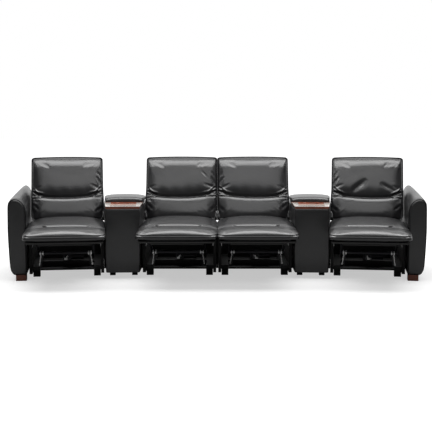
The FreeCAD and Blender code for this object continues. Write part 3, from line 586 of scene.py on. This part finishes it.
def swollen(name, form, held, cap):
    """A padded form puffed by cloth pressure: remeshed evenly, held where it rests, each point's
    move capped, then subdivided once. Gives vertices, vertex normals and faces."""
    sizes = bpy.context.scene.cinema_row_sizes
    base = bpy.data.objects.new(name, new_mesh(name, *form))
    bpy.context.scene.collection.objects.link(base)
    remesh = base.modifiers.new("even", "REMESH")
    remesh.mode = "VOXEL"
    remesh.voxel_size = sizes.voxel
    base.data = baked(base)
    base.modifiers.clear()
    before, normals = arrays_of(base.data)
    pins = base.vertex_groups.new(name="held")
    for step in range(1, 11):
        chosen = np.nonzero(np.round(held(before, normals) * 10).astype(int) == step)[0]
        if len(chosen):
            pins.add(chosen.tolist(), step / 10, "REPLACE")
    cloth = base.modifiers.new("cloth", "CLOTH")
    cloth.settings.quality = CLOTH_QUALITY
    cloth.settings.vertex_group_mass = "held"
    cloth.settings.use_pressure = True
    cloth.settings.uniform_pressure_force = sizes.pressure
    cloth.settings.effector_weights.gravity = 0
    cloth.settings.bending_stiffness = CLOTH_BENDING
    cloth.point_cache.frame_start = 1
    cloth.point_cache.frame_end = CLOTH_FRAMES
    for number in range(1, CLOTH_FRAMES + 1):
        bpy.context.scene.frame_set(number)
    after, _ = arrays_of(baked(base))
    base.modifiers.clear()
    bpy.context.scene.frame_set(1)
    move = after - before
    length = np.linalg.norm(move, axis=1, keepdims=True)
    move *= np.minimum(1, cap / np.maximum(length, 1e-9))
    base.data.vertices.foreach_set("co", (before + move).astype(np.float32).ravel())
    base.data.update()
    finer = base.modifiers.new("finer", "SUBSURF")
    finer.levels = finer.render_levels = 1
    base.data = baked(base)
    base.modifiers.clear()
    verts, normals = arrays_of(base.data)
    corners = np.zeros(len(base.data.loops), np.int32)
    base.data.loops.foreach_get("vertex_index", corners)
    faces = corners.reshape(-1, 4)
    bpy.data.objects.remove(base)
    return verts, normals, faces


def to_segment(x, y, first, last):
    """Distance of points to a segment, and the share of its length at the nearest place."""
    ax, ay = first
    dx, dy = last[0] - ax, last[1] - ay
    t = np.clip(((x - ax) * dx + (y - ay) * dy) / (dx ** 2 + dy ** 2), 0, 1)
    return np.hypot(x - ax - t * dx, y - ay - t * dy), t


def chaise_details(verts, normals, number):
    """Tuck, piping seam and the pull of the seams, as moves of the swollen pad's points.

    The tuck is a bell-shaped channel and a roll along a line at the hinge whose ends turn rearward;
    the seam draws the footrest's sides in to the outline at one height."""
    x, y, z = verts.T.copy()
    up = smoothstep(0.35, 0.8, normals[:, 2])
    lean = 0.004 * (number - 2.5)
    turn_up = 0.050 * smoothstep(0.135, 0.195, np.abs(x + lean))
    run_out = smoothstep(0.200, 0.140, np.abs(x + lean))
    depth = (TUCK_DEPTH * run_out + 0.002) * ridge(y - TUCK_LINE - turn_up, 0.0065)
    depth = depth + 0.003 * run_out * ridge(y - TUCK_LINE - turn_up, 0.022)
    swell = ROLL_HEIGHT * ridge(y - ROLL_LINE - turn_up, 0.014) * run_out
    shallow = 0.002 * ridge(y - TUCK_LINE, 0.016) * smoothstep(0.14, 0.2, np.abs(x))
    z = z + up * (swell - depth - shallow)
    # Folds that run out from the ends of the tuck to the pad's sides
    for side, tilt in ((-1, 0.45), (1, 0.25)):
        end = (side * 0.275, -0.150 + tilt * 0.09 - lean)
        fold, run = to_segment(x, y, (side * 0.185, -0.150), end)
        z = z + up * 0.0025 * np.sin(math.pi * run) * (
            ridge(fold - 0.006, 0.006) - ridge(fold, 0.007))
    # Slow hollows where people sit
    z = z - up * 0.004 * ridge(np.hypot(x, (y - 0.2) * 0.8), 0.15)
    z = z + up * 0.0006 * np.sin(34 * y + 9 * x + number) * np.sin(21 * x - number) * smoothstep(
        0.29, 0.2, np.abs(x))
    # Piping seam round the footrest's front and sides
    weight = ridge(z - SEAM_Z, 0.0055) * smoothstep(-0.17, -0.23, y)
    reach = (np.abs(x / SEAM_HALF) ** SEAM_X
             + np.abs((y - SEAM_MIDDLE) / SEAM_REACH) ** SEAM_Y) ** (2 / (SEAM_X + SEAM_Y))
    pull = weight * smoothstep(0.93, 0.985, reach)
    factor = 1 + pull * (1 / np.maximum(reach, 1e-6) - 1)
    x, y = x * factor, (y - SEAM_MIDDLE) * factor + SEAM_MIDDLE
    x = np.clip(x * (TOUCH + 0.004) / np.abs(x).max(), -TOUCH, TOUCH)
    return np.stack([x, y, z], -1)


def back_details(verts, normals, number):
    """Crease, end pleats, corner wrinkles, folds and ripples of one back cushion.

    The crease is a deep bell-shaped channel whose line sags in the middle; near each end it splits
    into pleats; wrinkles are bells along short slanting lines from the lower corners."""
    x, d, h = verts.T.copy()
    ahead = smoothstep(0.2, 0.7, -normals[:, 1])
    share = x / 0.288
    mirrored = -1 if number > 2 else 1
    line = CREASE_HEIGHT - CREASE_SAG * (1 - share ** 2) + 0.005 * share * mirrored
    off = h - line
    middle = smoothstep(0.98, 0.55, np.abs(share))
    above = np.exp(-np.clip(off, 0, 1) / (0.022 + 0.014 * middle))
    under = np.where(off > 0, above, np.exp(np.clip(off, -1, 0) / 0.013))
    depth = (CREASE_SIDES + CREASE_MIDDLE * middle) * under
    # The lumbar pad's lower corners turn away
    depth = depth + 0.018 * smoothstep(0.70, 1.0, np.abs(share)) * ridge(h - 0.040, 0.060)
    # End pleats: channels that fan out from the crease to the sides
    for side, rise, start, deep in PLEATS:
        s = share * side * mirrored
        along = smoothstep(start, 0.80, s) * smoothstep(1.01, 0.9, s)
        path = line + rise * (s - start) / (1 - start) + 0.002 * np.sin(20 * s + number)
        depth = depth + deep * along * (
            ridge(h - path, 0.0065) - 0.5 * ridge(h - path - 0.016, 0.008))
    for index, (first, last, deep) in enumerate(WRINKLES):
        first = (first[0] * mirrored, first[1] + 0.006 * math.sin(7 * index + 3 * number))
        last = (last[0] * mirrored * (1 + 0.03 * math.sin(5 * index + number)), last[1])
        near, run = to_segment(x, h, first, last)
        depth = depth + deep * np.sin(math.pi * np.clip(0.15 + 0.85 * run, 0, 1)) * (
            ridge(near, 0.010) - 0.4 * ridge(near - 0.020, 0.010))
    for first, last, deep, wide in FOLDS.get(number, ()):
        near, run = to_segment(x, h, first, last)
        depth = depth + deep * np.sin(math.pi * run) * ridge(near, wide)
    ripple = 0.0010 * np.sin(60 * x + 10 * h + number) * ridge(off - 0.03, 0.05)
    slow = 0.0020 * np.sin(11 * x + 1.7 * number) * np.sin(13 * h + number)
    thickness = np.clip(-d, 0, 1)
    pressed = ahead * (depth + ripple + slow) * np.clip(thickness / 0.05, 0, 1)
    d = np.where(ahead > 0, -np.maximum(thickness - pressed, 0.004), -thickness)
    x = np.clip(x, -0.2928, 0.2928)
    return np.stack([x, d, h], -1)


def welt_path_footrest():
    """The piping's line at the seam's height: the plan outline from one side round the front."""
    t = np.linspace(0, math.pi, 6001)
    cos, sin = np.cos(t), -np.sin(t)
    x = SEAM_HALF * np.sign(cos) * np.abs(cos) ** (2 / SEAM_X)
    y = SEAM_MIDDLE + SEAM_REACH * np.sign(sin) * np.abs(sin) ** (2 / SEAM_Y)
    return evenly(np.stack([x, y, np.full_like(x, SEAM_Z)], -1)[y < -0.215], 160)


# Operators


class CINEMAROW_OT_stage(bpy.types.Operator):
    """Pale floor, soft studio lamps and the photograph's camera"""
    bl_idname = "cinema_row.stage"
    bl_label = "Stage and camera"

    def execute(self, context):
        sizes = context.scene.cinema_row_sizes
        camera = bpy.data.objects.new("camera", bpy.data.cameras.new("camera"))
        camera.data.sensor_width = 36
        camera.data.lens = sizes.lens
        camera.data.shift_x = -0.0029
        camera.location = (0, FRONT_LINE - sizes.camera_distance, sizes.camera_height)
        camera.rotation_euler = (math.pi / 2 - sizes.camera_pitch, 0, 0)
        context.scene.collection.objects.link(camera)
        context.scene.camera = camera

        floor_mesh = bpy.data.meshes.new("floor")
        t = np.linspace(0, 2 * math.pi, 64, endpoint=False)
        floor_mesh.from_pydata(np.stack([40 * np.cos(t), 40 * np.sin(t), 0 * t], -1).tolist(), [],
                               [list(range(64))])
        floor = bpy.data.objects.new("floor", floor_mesh)
        context.scene.collection.objects.link(floor)
        floor_mesh.materials.append(self.floor_material())

        self.lamp("overhead", (0, -0.15, 3.6), (0.04, 0, 0), 5.6, 2.1, sizes.overhead)
        self.lamp("front", (0, -4.2, 4.1), (0.85, 0, 0), 5.2, 1.6, sizes.front)

        world = bpy.data.worlds.new("studio")
        world.use_nodes = True
        tree = world.node_tree
        room = tree.nodes["Background"]
        room.inputs["Color"].default_value = (1, 1, 1, 1)
        # The white backdrop stands behind the row; the room behind the camera is dim
        depth = add(tree, "SeparateXYZ", "Y", {"Vector": add(tree, "TexCoord", "Generated", {})})
        fade = spread(tree, depth, -0.35, 0.65, sizes.ambient, sizes.backdrop,
                      interpolation_type="SMOOTHSTEP")
        tree.links.new(fade, room.inputs["Strength"])
        white = add(tree, "Background", "Background", {}, {"Color": (1, 1, 1, 1), "Strength": 1.0})
        mix = add(tree, "MixShader", "Shader", {"Fac": add(tree, "LightPath", "Is Camera Ray", {}),
                                                1: room.outputs["Background"], 2: white})
        tree.links.new(mix, tree.nodes["World Output"].inputs["Surface"])
        context.scene.world = world
        context.scene.view_settings.view_transform = "Standard"
        return {"FINISHED"}

    def floor_material(self):
        """White studio floor under the row's shadow; far out the camera sees it glow to white."""
        made = Finish("studio_floor", False)
        seen = made.node("LightPath", "Is Camera Ray", {})
        made.finish(made.spread(seen, 0.0, 1.0, 0.35, 0.50), 0.9, specular_ior_level=0.1)
        flat = made.node("VectorMath", "Vector", {0: made.where}, {1: (0.45, 1.0, 0.0)},
                         operation="MULTIPLY")
        length = made.node("VectorMath", "Value", {0: flat}, operation="LENGTH")
        far = made.spread(length, 0.55, 2.0, 0.53, 1.0, interpolation_type="SMOOTHSTEP")
        glow = made.node("Emission", "Emission", {"Strength": far}, {"Color": (1, 1, 1, 1)})
        shader = made.shader.outputs["BSDF"]
        both = made.node("AddShader", "Shader", {0: shader, 1: glow})
        mix = made.node("MixShader", "Shader", {"Fac": seen, 1: shader, 2: both})
        made.tree.links.new(mix, made.tree.nodes["Material Output"].inputs["Surface"])
        return made.material

    def lamp(self, name, place, turn, width, depth, power):
        """A rectangular area lamp."""
        light = bpy.data.lights.new(name, "AREA")
        light.shape = "RECTANGLE"
        light.size, light.size_y = width, depth
        light.energy = power
        obj = bpy.data.objects.new(name, light)
        obj.location = place
        obj.rotation_euler = turn
        bpy.context.scene.collection.objects.link(obj)


class CINEMAROW_OT_chaises(bpy.types.Operator):
    """Seat and footrest pads as one leather form each, tucked at the footrest's hinge"""
    bl_idname = "cinema_row.chaises"
    bl_label = "Seat and footrest pads"

    def execute(self, context):
        sizes = context.scene.cinema_row_sizes

        def held(co, normals):
            below = smoothstep(-0.2, -0.6, normals[:, 2])
            notch = ridge(co[:, 1] + 0.150, 0.035) * smoothstep(0.412, 0.402, co[:, 2])
            return np.maximum(below, notch)

        verts, normals, faces = swollen("pad_work", chaise_form(), held, sizes.seat_swell)
        for number in SEATS:
            place = seat_place(number)
            shaped = chaise_details(verts, normals, number)
            name = f"seat_{number}_leather_pad"
            pad = piece(name, (shaped, faces), place, leather(), fix=False)
            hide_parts(f"seat_{number}_cushion", f"seat_{number}_footrest_pad")
            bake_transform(pad)
            welt = carried(welt_path_footrest(), cord_round(0.0024))
            piece(f"seat_{number}_footrest_piping", welt, place, stitching(),
                  f"seat_{number}_footrest")
        return {"FINISHED"}


class CINEMAROW_OT_backs(bpy.types.Operator):
    """Back cushions with their crease and pleats, and the boxing round each back"""
    bl_idname = "cinema_row.backs"
    bl_label = "Backs"

    def execute(self, context):
        sizes = context.scene.cinema_row_sizes

        def held(co, normals):
            return np.maximum(smoothstep(0.2, 0.6, normals[:, 1]),
                              smoothstep(-0.014, -0.004, co[:, 1]))

        verts, normals, faces = swollen("back_work", back_form(), held, sizes.back_swell)
        for number in SEATS:
            shaped = back_details(verts, normals, number)
            cushion = self.leaned("back_leather", (shaped, faces), number, leather(), fix=False)
            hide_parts(f"seat_{number}_back_cushion")
            self.boxing(number)
            self.rear_seams(number)
            self.lower_corners(number)
        return {"FINISHED"}

    def leaned(self, name, form, number, material, fix=True):
        """A piece made in the back's own axes, leaned with the back and riding on it."""
        form = (on_back(form[0], number), form[1])
        return piece(f"seat_{number}_{name}", form, seat_place(number), material,
                     f"seat_{number}_back", fix=fix)

    def boxing(self, number):
        """A band and a cord of piping carried round the back's outline, a superellipse."""
        t = superellipse(260, 40.0)
        outline = np.stack([0.2875 * t[:, 0], 0 * t[:, 0], 0.289 + 0.2515 * t[:, 1]], -1)
        section = superellipse(20, 4.0) * (0.0075, 0.0135)
        band = carried(outline + (0, -0.002, 0), section, up=(0, 1, 0), closed=True)
        self.leaned("back_boxing", band, number, stitching())
        cord = carried(outline * (1.016, 1, 1) + (0, -0.016, 0), cord_round(0.003), up=(0, 1, 0),
                       closed=True)
        self.leaned("back_piping", cord, number, stitching())

    def rear_seams(self, number):
        """Two upright rows of piping and one across, lying on the curved rear of the shell."""
        half, depth, height, count = 0.288, 0.062, 0.553, 60
        upright = np.linspace(0.040, 0.515, count)
        lines = [(np.full(count, x), upright) for x in (-0.150, 0.150)]
        lines.append((np.linspace(-0.282, 0.282, count), np.full(count, 0.30)))
        parts = []
        for x, h in lines:
            share = np.clip(h / height, 0, 1)
            reach = np.interp(share, (-0.02, 0.06, 0.86, 0.955), (0.75, 1, 1, 0.7)) * depth
            behind = reach - 0.010 * (x / (half - 0.004)) ** 2
            parts.append(carried(np.stack([x, behind + 0.0005, h], -1), cord_round(0.0024),
                                 up=(0, 1, 0)))
        self.leaned("back_seams", together(parts), number, stitching())

    def lower_corners(self, number):
        """Rolls carried up the back's lower corners, where it meets a console or a seat."""
        for (side, hand), neighbour in zip(SIDES, NEIGHBOURS[number]):
            if neighbour != "arm":
                line = [(side * 0.279, -0.035, h) for h in (0.004, 0.030, 0.055, 0.080)]
                roll = carried(line, superellipse(20, 4.0) * (0.0175, 0.012), up=(0, 1, 0))
                self.leaned(f"back_corner_{hand}", roll, number, leather())


# The arm: its inner side, width, underside, top at the front, rise and taper towards the rear
ARM_INNER, ARM_WIDTH, ARM_LOW = 0.302, 0.139, 0.045
ARM_TOP, ARM_RISE, ARM_TAPER, ARM_PANEL_TOP = 0.632, 0.046, 0.055, 0.631


def arm_top(y):
    """Height of the arm's top at y, an eased step up to the rear."""
    return ARM_TOP + ARM_RISE * smoothstep(0.0, 0.78, y)


def arm_section(top, inset, narrow=0.0, count=110):
    """The arm's closed outline seen from the front: flat inside, a full round top, barrel outside.

    Its upper part leans inwards: widths shrink by narrow at the top and not at all near the foot.
    """
    points = np.array([
        (0.003, ARM_LOW + 0.002), (0.010, ARM_LOW), (0.045, ARM_LOW), (0.080, ARM_LOW),
        (0.098, ARM_LOW + 0.004), (0.112, ARM_LOW + 0.020), (0.124, ARM_LOW + 0.055),
        (0.133, ARM_LOW + 0.16), (0.139, (ARM_LOW + top) / 2 + 0.035), (0.1382, top - 0.14),
        (0.1368, top - 0.062), (0.1320, top - 0.030), (0.1190, top - 0.010), (0.099, top - 0.001),
        (0.074, top), (0.050, top - 0.009), (0.028, top - 0.027), (0.0115, top - 0.053),
        (0.003, top - 0.088), (0.0, top - 0.13), (0.0, 0.40), (0.0, 0.20), (0.0, ARM_LOW + 0.020),
    ])
    points[:, 0] *= 1 - narrow / ARM_WIDTH * smoothstep(ARM_LOW + 0.10, top - 0.05, points[:, 1])
    curve = through(points, count)
    middle = np.array([ARM_WIDTH / 2, (ARM_LOW + top) / 2])
    scale = 1 - inset / np.array([ARM_WIDTH / 2, (top - ARM_LOW) / 2])
    return middle + (curve - middle) * scale


class CINEMAROW_OT_arms(bpy.types.Operator):
    """Barrel arms with flat front panels, piping and seams"""
    bl_idname = "cinema_row.arms"
    bl_label = "Outer arms"

    def execute(self, context):
        # Rows of y, top and inset: the rounded front edge, the long roll, the rounded rear
        stations = [(0.0085, 0.631, 0.006), (0.0105, 0.6315, 0.0025), (0.016, 0.6325, 0.0),
                    (0.10, 0.637, -0.0005)]
        stations += [(y, arm_top(y) + 0.002, -0.0008) for y in np.linspace(0.16, 0.80, 14)]
        stations += [(0.845, 0.676, 0.001), (0.872, 0.672, 0.005), (0.888, 0.665, 0.012),
                     (0.896, 0.657, 0.022), (0.8995, 0.645, 0.036)]
        # Rows of y and inset: the front panel's puffed edge
        fronts = [(-0.0040, 0.022), (-0.0038, 0.016), (-0.0030, 0.011), (-0.0010, 0.0078),
                  (0.003, 0.0064), (0.009, 0.0064)]
        for number, side, node in ((1, -1, "left_arm"), (4, 1, "right_arm")):
            place = seat_place(number)

            def put(section, y):
                return np.stack([side * (ARM_INNER + section[:, 0]), np.full(len(section), y),
                                 section[:, 1]], -1)

            verts, faces = loops_to_mesh([
                put(arm_section(top, inset, ARM_TAPER * smoothstep(0.05, 0.86, y)), y)
                for y, top, inset in stations])
            # A shallow seam along the outer side and one along the inner side, under the top roll
            across = side * verts[:, 0] - ARM_INNER
            roll = arm_top(verts[:, 1]) - 0.120
            seam = 0.0022 * ridge(verts[:, 2] - roll, 0.004) * smoothstep(0.02, 0.05, verts[:, 1])
            verts[:, 0] -= side * seam * np.where(across > 0.04, 1, -1)
            arm = piece(f"{node}_leather", (verts, faces), place, leather(),
                        "row_base")
            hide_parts(node)

            puffed = loops_to_mesh([put(arm_section(ARM_PANEL_TOP, inset), y)
                                    for y, inset in fronts])
            panel = piece(f"{node}_front_panel", puffed, place, leather(),
                          "row_base")
            if number == 1:
                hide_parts("arm_front_panels")
            outline = put(arm_section(ARM_PANEL_TOP, 0.0022, 0.0, 220), 0.0045)
            cord = carried(outline, cord_round(0.0034), up=(0, 1, 0), closed=True)
            piece(f"{node}_piping", cord, place, stitching(), "row_base")
        return {"FINISHED"}


# The console: half its width at the front, its depth, and how fast it widens
CONSOLE_HALF, CONSOLE_DEPTH = 0.132, 0.760
FLARE = math.tan(WEDGE / 2)
# Its hinge: y, z, radius, half a knuckle's length and the knuckles' x
HINGE_Y, HINGE_Z, HINGE_RADIUS, KNUCKLE_HALF, KNUCKLES = 0.749, 0.553, 0.005, 0.015, (-0.060, 0.060)


def plan_loop(half, flare, start, end, inset, z, corner):
    """A plan with rounded corners at one height, wider by flare times y: four quarter circles."""
    points = []
    a = np.linspace(0, math.pi / 2, CORNER)
    for side, y, turn in ((1, start, -math.pi / 2), (1, end, 0), (-1, end, math.pi / 2),
                          (-1, start, math.pi)):
        middle_x = side * (half + flare * y - inset - corner)
        middle_y = y + (corner + inset if y == start else -corner - inset)
        points.append(np.stack([middle_x + corner * np.cos(a + turn),
                                middle_y + corner * np.sin(a + turn)], -1))
    flat = np.concatenate(points)
    return np.concatenate([flat, np.full((len(flat), 1), z)], 1)


class CINEMAROW_OT_consoles(bpy.types.Operator):
    """Wedge consoles: leather box with its bin, lacquered tray, padded lid"""
    bl_idname = "cinema_row.consoles"
    bl_label = "Consoles"

    def execute(self, context):
        for number in CONSOLES:
            place = console_place(number)
            self.box_leather(number, place)
            self.lid(number, place)
            dress(NODES[f"console_{number}_tray"], rosewood(number))
        return {"FINISHED"}

    def box_leather(self, number, place):
        """The wedge from its foot over its rim and down into the bin, its hinge and its piping."""
        outside = (
            # inset, z, corner
            (0.040, 0.048, 0.010), (0.006, 0.048, 0.010), (0.001, 0.051, 0.010),
            (0.0, 0.058, 0.010), (-0.0022, 0.120, 0.010), (-0.0034, 0.220, 0.010),
            (-0.0036, 0.300, 0.010), (-0.0036, 0.400, 0.010), (-0.0034, 0.490, 0.010),
            (-0.0022, 0.524, 0.010), (-0.0002, 0.540, 0.010), (0.0012, 0.547, 0.010),
            (0.004, 0.550, 0.009), (0.012, 0.5502, 0.008))
        inside = (
            # half width, start, end, z, corner
            (0.1190, 0.396, 0.704, 0.5502, 0.010), (0.1155, 0.3995, 0.7005, 0.548, 0.008),
            (0.1150, 0.400, 0.700, 0.540, 0.008), (0.1150, 0.400, 0.700, 0.305, 0.008),
            (0.1130, 0.402, 0.698, 0.301, 0.008), (0.060, 0.46, 0.64, 0.300, 0.008))
        rows = [plan_loop(CONSOLE_HALF, FLARE, 0, CONSOLE_DEPTH, *row) for row in outside]
        rows += [plan_loop(half, 0, start, end, 0, z, corner)
                 for half, start, end, z, corner in inside]
        box = piece(f"console_{number}_leather", loops_to_mesh(rows), place, leather(),
                    "row_base", sharp=50)
        r, length = HINGE_RADIUS, 2 * KNUCKLE_HALF
        profile = [(0.0, 0), (r - 0.001, 0), (r, 0.001), (r, length - 0.001), (r - 0.001, length),
                   (0.0, length)]
        knuckles = together([turned(profile, (x - KNUCKLE_HALF, HINGE_Y, HINGE_Z), (1, 0, 0))
                             for x in KNUCKLES])
        piece(f"console_{number}_hinge", knuckles, place, zinc(True), "row_base",
              sharp=40)
        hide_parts(f"console_{number}_body")
        seams = [carried([(side * (CONSOLE_HALF - 0.0042), 0.0034, z)
                          for z in np.linspace(0.052, 0.546, 40)], cord_round(0.0026), up=(0, 1, 0))
                 for side in (-1, 1)]
        piece(f"console_{number}_piping", together(seams), place, stitching(),
              "row_base")

    def lid(self, number, place):
        """Crowned pad: loops of a superellipse, wider to the rear, with rolled ends."""
        stations = eased([
            # y, edge drop, edge z, crown
            (0.3860, 0.030, 0.572, 0.001), (0.3870, 0.020, 0.586, 0.002),
            (0.3920, 0.010, 0.594, 0.004), (0.4050, 0.005, 0.600, 0.006),
            (0.4400, 0.002, 0.602, 0.008), (0.5600, 0.0, 0.603, 0.009),
            (0.6900, 0.002, 0.601, 0.008), (0.7250, 0.006, 0.597, 0.005),
            (0.7380, 0.014, 0.588, 0.003), (0.7415, 0.028, 0.574, 0.001)], 60)
        y, drop, edge, crown = stations.T
        wide = CONSOLE_HALF + FLARE * y - 0.003 - 0.5 * drop
        x, z = crowned(wide, np.full_like(y, 0.5505), edge, crown, superellipse(80, 5.0),
                       wide[:, None])
        seam = 0.0018 * ridge(z - 0.566, 0.003)
        x = x * (1 - seam / wide[:, None])
        form = loops_to_mesh(np.stack([x, np.broadcast_to(y[:, None], x.shape), z], -1))
        lid = piece(f"console_{number}_lid_leather", form, place, leather(),
                    f"console_{number}_lid")
        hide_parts(f"console_{number}_lid")


# The linkage's shaft (y and z), and turned profiles as rows of radius and distance along
SHAFT_Y, SHAFT_Z, BOLT_Z = -0.110, 0.228, 0.182
COLLAR = ((0.0, 0), (0.0125, 0), (0.0158, 0.0012), (0.0163, 0.003), (0.0163, 0.0105),
          (0.0158, 0.0123), (0.0125, 0.0135), (0.0, 0.0135))
BOLT_HEAD = ((0.0, 0), (0.0064, 0), (0.0072, 0.001), (0.0072, 0.0055), (0.006, 0.0070),
             (0.0, 0.0074))


class CINEMAROW_OT_hardware(bpy.types.Operator):
    """Joint covers, and bright collars, stay rods and bolts on the footrest's linkage"""
    bl_idname = "cinema_row.hardware"
    bl_label = "Linkage hardware"

    def execute(self, context):
        self.joint_covers()
        for number in SEATS:
            parts = []
            for side in (-1, 1):
                parts += [turned(COLLAR, (side * start, SHAFT_Y, SHAFT_Z), (side, 0, 0))
                          for start in (0.1835, 0.1665)]
                top = np.array([side * 0.187, SHAFT_Y - 0.002, SHAFT_Z - 0.010])
                run = np.array([side * 0.200, -0.076, 0.130]) - top
                length = np.linalg.norm(run)
                rod = [(0.0, 0), (0.0042, 0), (0.0042, length - 0.014), (0.0060, length - 0.012),
                       (0.0060, length), (0.0, length)]
                parts.append(turned(rod, top, run, 16))
                parts.append(turned(BOLT_HEAD, (side * 0.0175, SHAFT_Y, BOLT_Z), (side, 0, 0), 6))
            piece(f"seat_{number}_linkage_zinc", together(parts), seat_place(number), zinc(True),
                  f"seat_{number}_link_lower_rears", sharp=35)
        return {"FINISHED"}

    def joint_covers(self):
        """Dark strips carried upright that close the joints below the seats."""
        for number in SEATS:
            for (side, hand), neighbour in zip(SIDES, NEIGHBOURS[number]):
                if neighbour == "arm" or (number, hand) == (3, "left"):
                    continue
                middle, half = (0.300, 0.0075) if neighbour == "seat" else (0.2985, 0.006)
                line = [(side * middle, 0.150, z) for z in (0.060, 0.150, 0.250, 0.335)]
                strip = carried(line, superellipse(20, 4.0) * (half, 0.006), up=(0, 1, 0))
                piece(f"seat_{number}_joint_cover_{hand}", strip, seat_place(number), board(),
                      "row_base")


class CINEMAROW_OT_carried_nodes(bpy.types.Operator):
    """Procedural finishes for every frame, board, foot, motor and panel that stays as it is"""
    bl_idname = "cinema_row.carried_nodes"
    bl_label = "Carried parts"

    def execute(self, context):
        finishes = [
            ("back_frame", leather(False)), ("arm_legs", leg_wood()),
            ("base_side_panels", board()), ("base_rails", board()), ("footrest_board", board()),
            ("base_feet", plastic()), ("control_panels", plastic()), ("glide_rails", zinc(False)),
            ("drive_rod", zinc(False)), ("drive_motors", black_steel()), ("link_", black_steel()),
            ("_frame", black_steel()),
        ]
        for name, node in NODES.items():
            fitting = [material for words, material in finishes if words in name]
            if not name.endswith("_tray"):
                dress(node, (fitting or [leather(False)])[0])
        return {"FINISHED"}


def number_of(name, description, default, unit="NONE"):
    """A property for one number."""
    return FloatProperty(name=name, description=description, default=default, unit=unit)


def colour_of(name, description, default):
    """A property for one colour."""
    return FloatVectorProperty(name=name, description=description, default=default, size=3,
                               subtype="COLOR", min=0, max=1)


class CinemaRowSizes(bpy.types.PropertyGroup):
    """Sizes and lamp levels that a user may change"""
    voxel: number_of("Pad mesh step", "Even mesh step of the padded forms", 0.008, "LENGTH")
    pressure: number_of("Pad pressure", "Cloth pressure in the pads", 4.0)
    seat_swell: number_of("Seat swell", "Most that a seat pad's point may move", 0.0035, "LENGTH")
    back_swell: number_of("Back swell", "Most that a back's point may move", 0.0035, "LENGTH")
    lens: number_of("Lens", "Camera lens in millimetres", 80.48)
    camera_distance: number_of("Camera distance", "From the row's front line", 7.468, "LENGTH")
    camera_height: number_of("Camera height", "Above the floor", 1.293, "LENGTH")
    camera_pitch: number_of("Camera pitch", "Downward tilt", 0.1067, "ROTATION")
    overhead: number_of("Overhead lamp", "Power in watts", 197.0)
    front: number_of("Front lamp", "Power in watts", 50.0)
    ambient: number_of("Room", "Light of the room behind the camera", 0.075)
    backdrop: number_of("Backdrop", "Light of the backdrop behind the row", 0.75)


class CinemaRowColours(bpy.types.PropertyGroup):
    """Colours that a user may change"""
    leather: colour_of("Leather", "Colour of the leather", (0.0060, 0.0060, 0.0069))
    rosewood: colour_of("Tray veneer", "Colour of the lacquered trays", (0.21, 0.055, 0.025))
    legs: colour_of("Arm legs", "Colour of the wooden legs", (0.11, 0.020, 0.006))
    zinc: colour_of("Zinc", "Colour of the zinc-plated steel", (0.86, 0.86, 0.85))


STEPS = (CINEMAROW_OT_stage, CINEMAROW_OT_carried_nodes, CINEMAROW_OT_chaises, CINEMAROW_OT_backs,
         CINEMAROW_OT_arms, CINEMAROW_OT_consoles, CINEMAROW_OT_hardware)


class CINEMAROW_PT_panel(bpy.types.Panel):
    """The row's sizes, colours and steps in the sidebar"""
    bl_idname = "CINEMAROW_PT_panel"
    bl_label = "Cinema row"
    bl_space_type = "VIEW_3D"
    bl_region_type = "UI"
    bl_category = "Cinema row"

    def draw(self, context):
        for group in (context.scene.cinema_row_sizes, context.scene.cinema_row_colours):
            for name in group.__annotations__:
                self.layout.prop(group, name)
        for step in STEPS:
            self.layout.operator(step.bl_idname)


CLASSES = (CinemaRowSizes, CinemaRowColours, *STEPS, CINEMAROW_PT_panel)


def register():
    """Registers the classes and the two groups of properties."""
    for item in CLASSES:
        bpy.utils.register_class(item)
    bpy.types.Scene.cinema_row_sizes = PointerProperty(type=CinemaRowSizes)
    bpy.types.Scene.cinema_row_colours = PointerProperty(type=CinemaRowColours)


def unregister():
    """Takes back what register did."""
    del bpy.types.Scene.cinema_row_colours
    del bpy.types.Scene.cinema_row_sizes
    for item in reversed(CLASSES):
        bpy.utils.unregister_class(item)


def main():
    """Registers the add-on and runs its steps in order."""
    register()
    for step in STEPS:
        group, name = step.bl_idname.split(".")
        getattr(getattr(bpy.ops, group), name)()


if __name__ == "__main__":
    main()
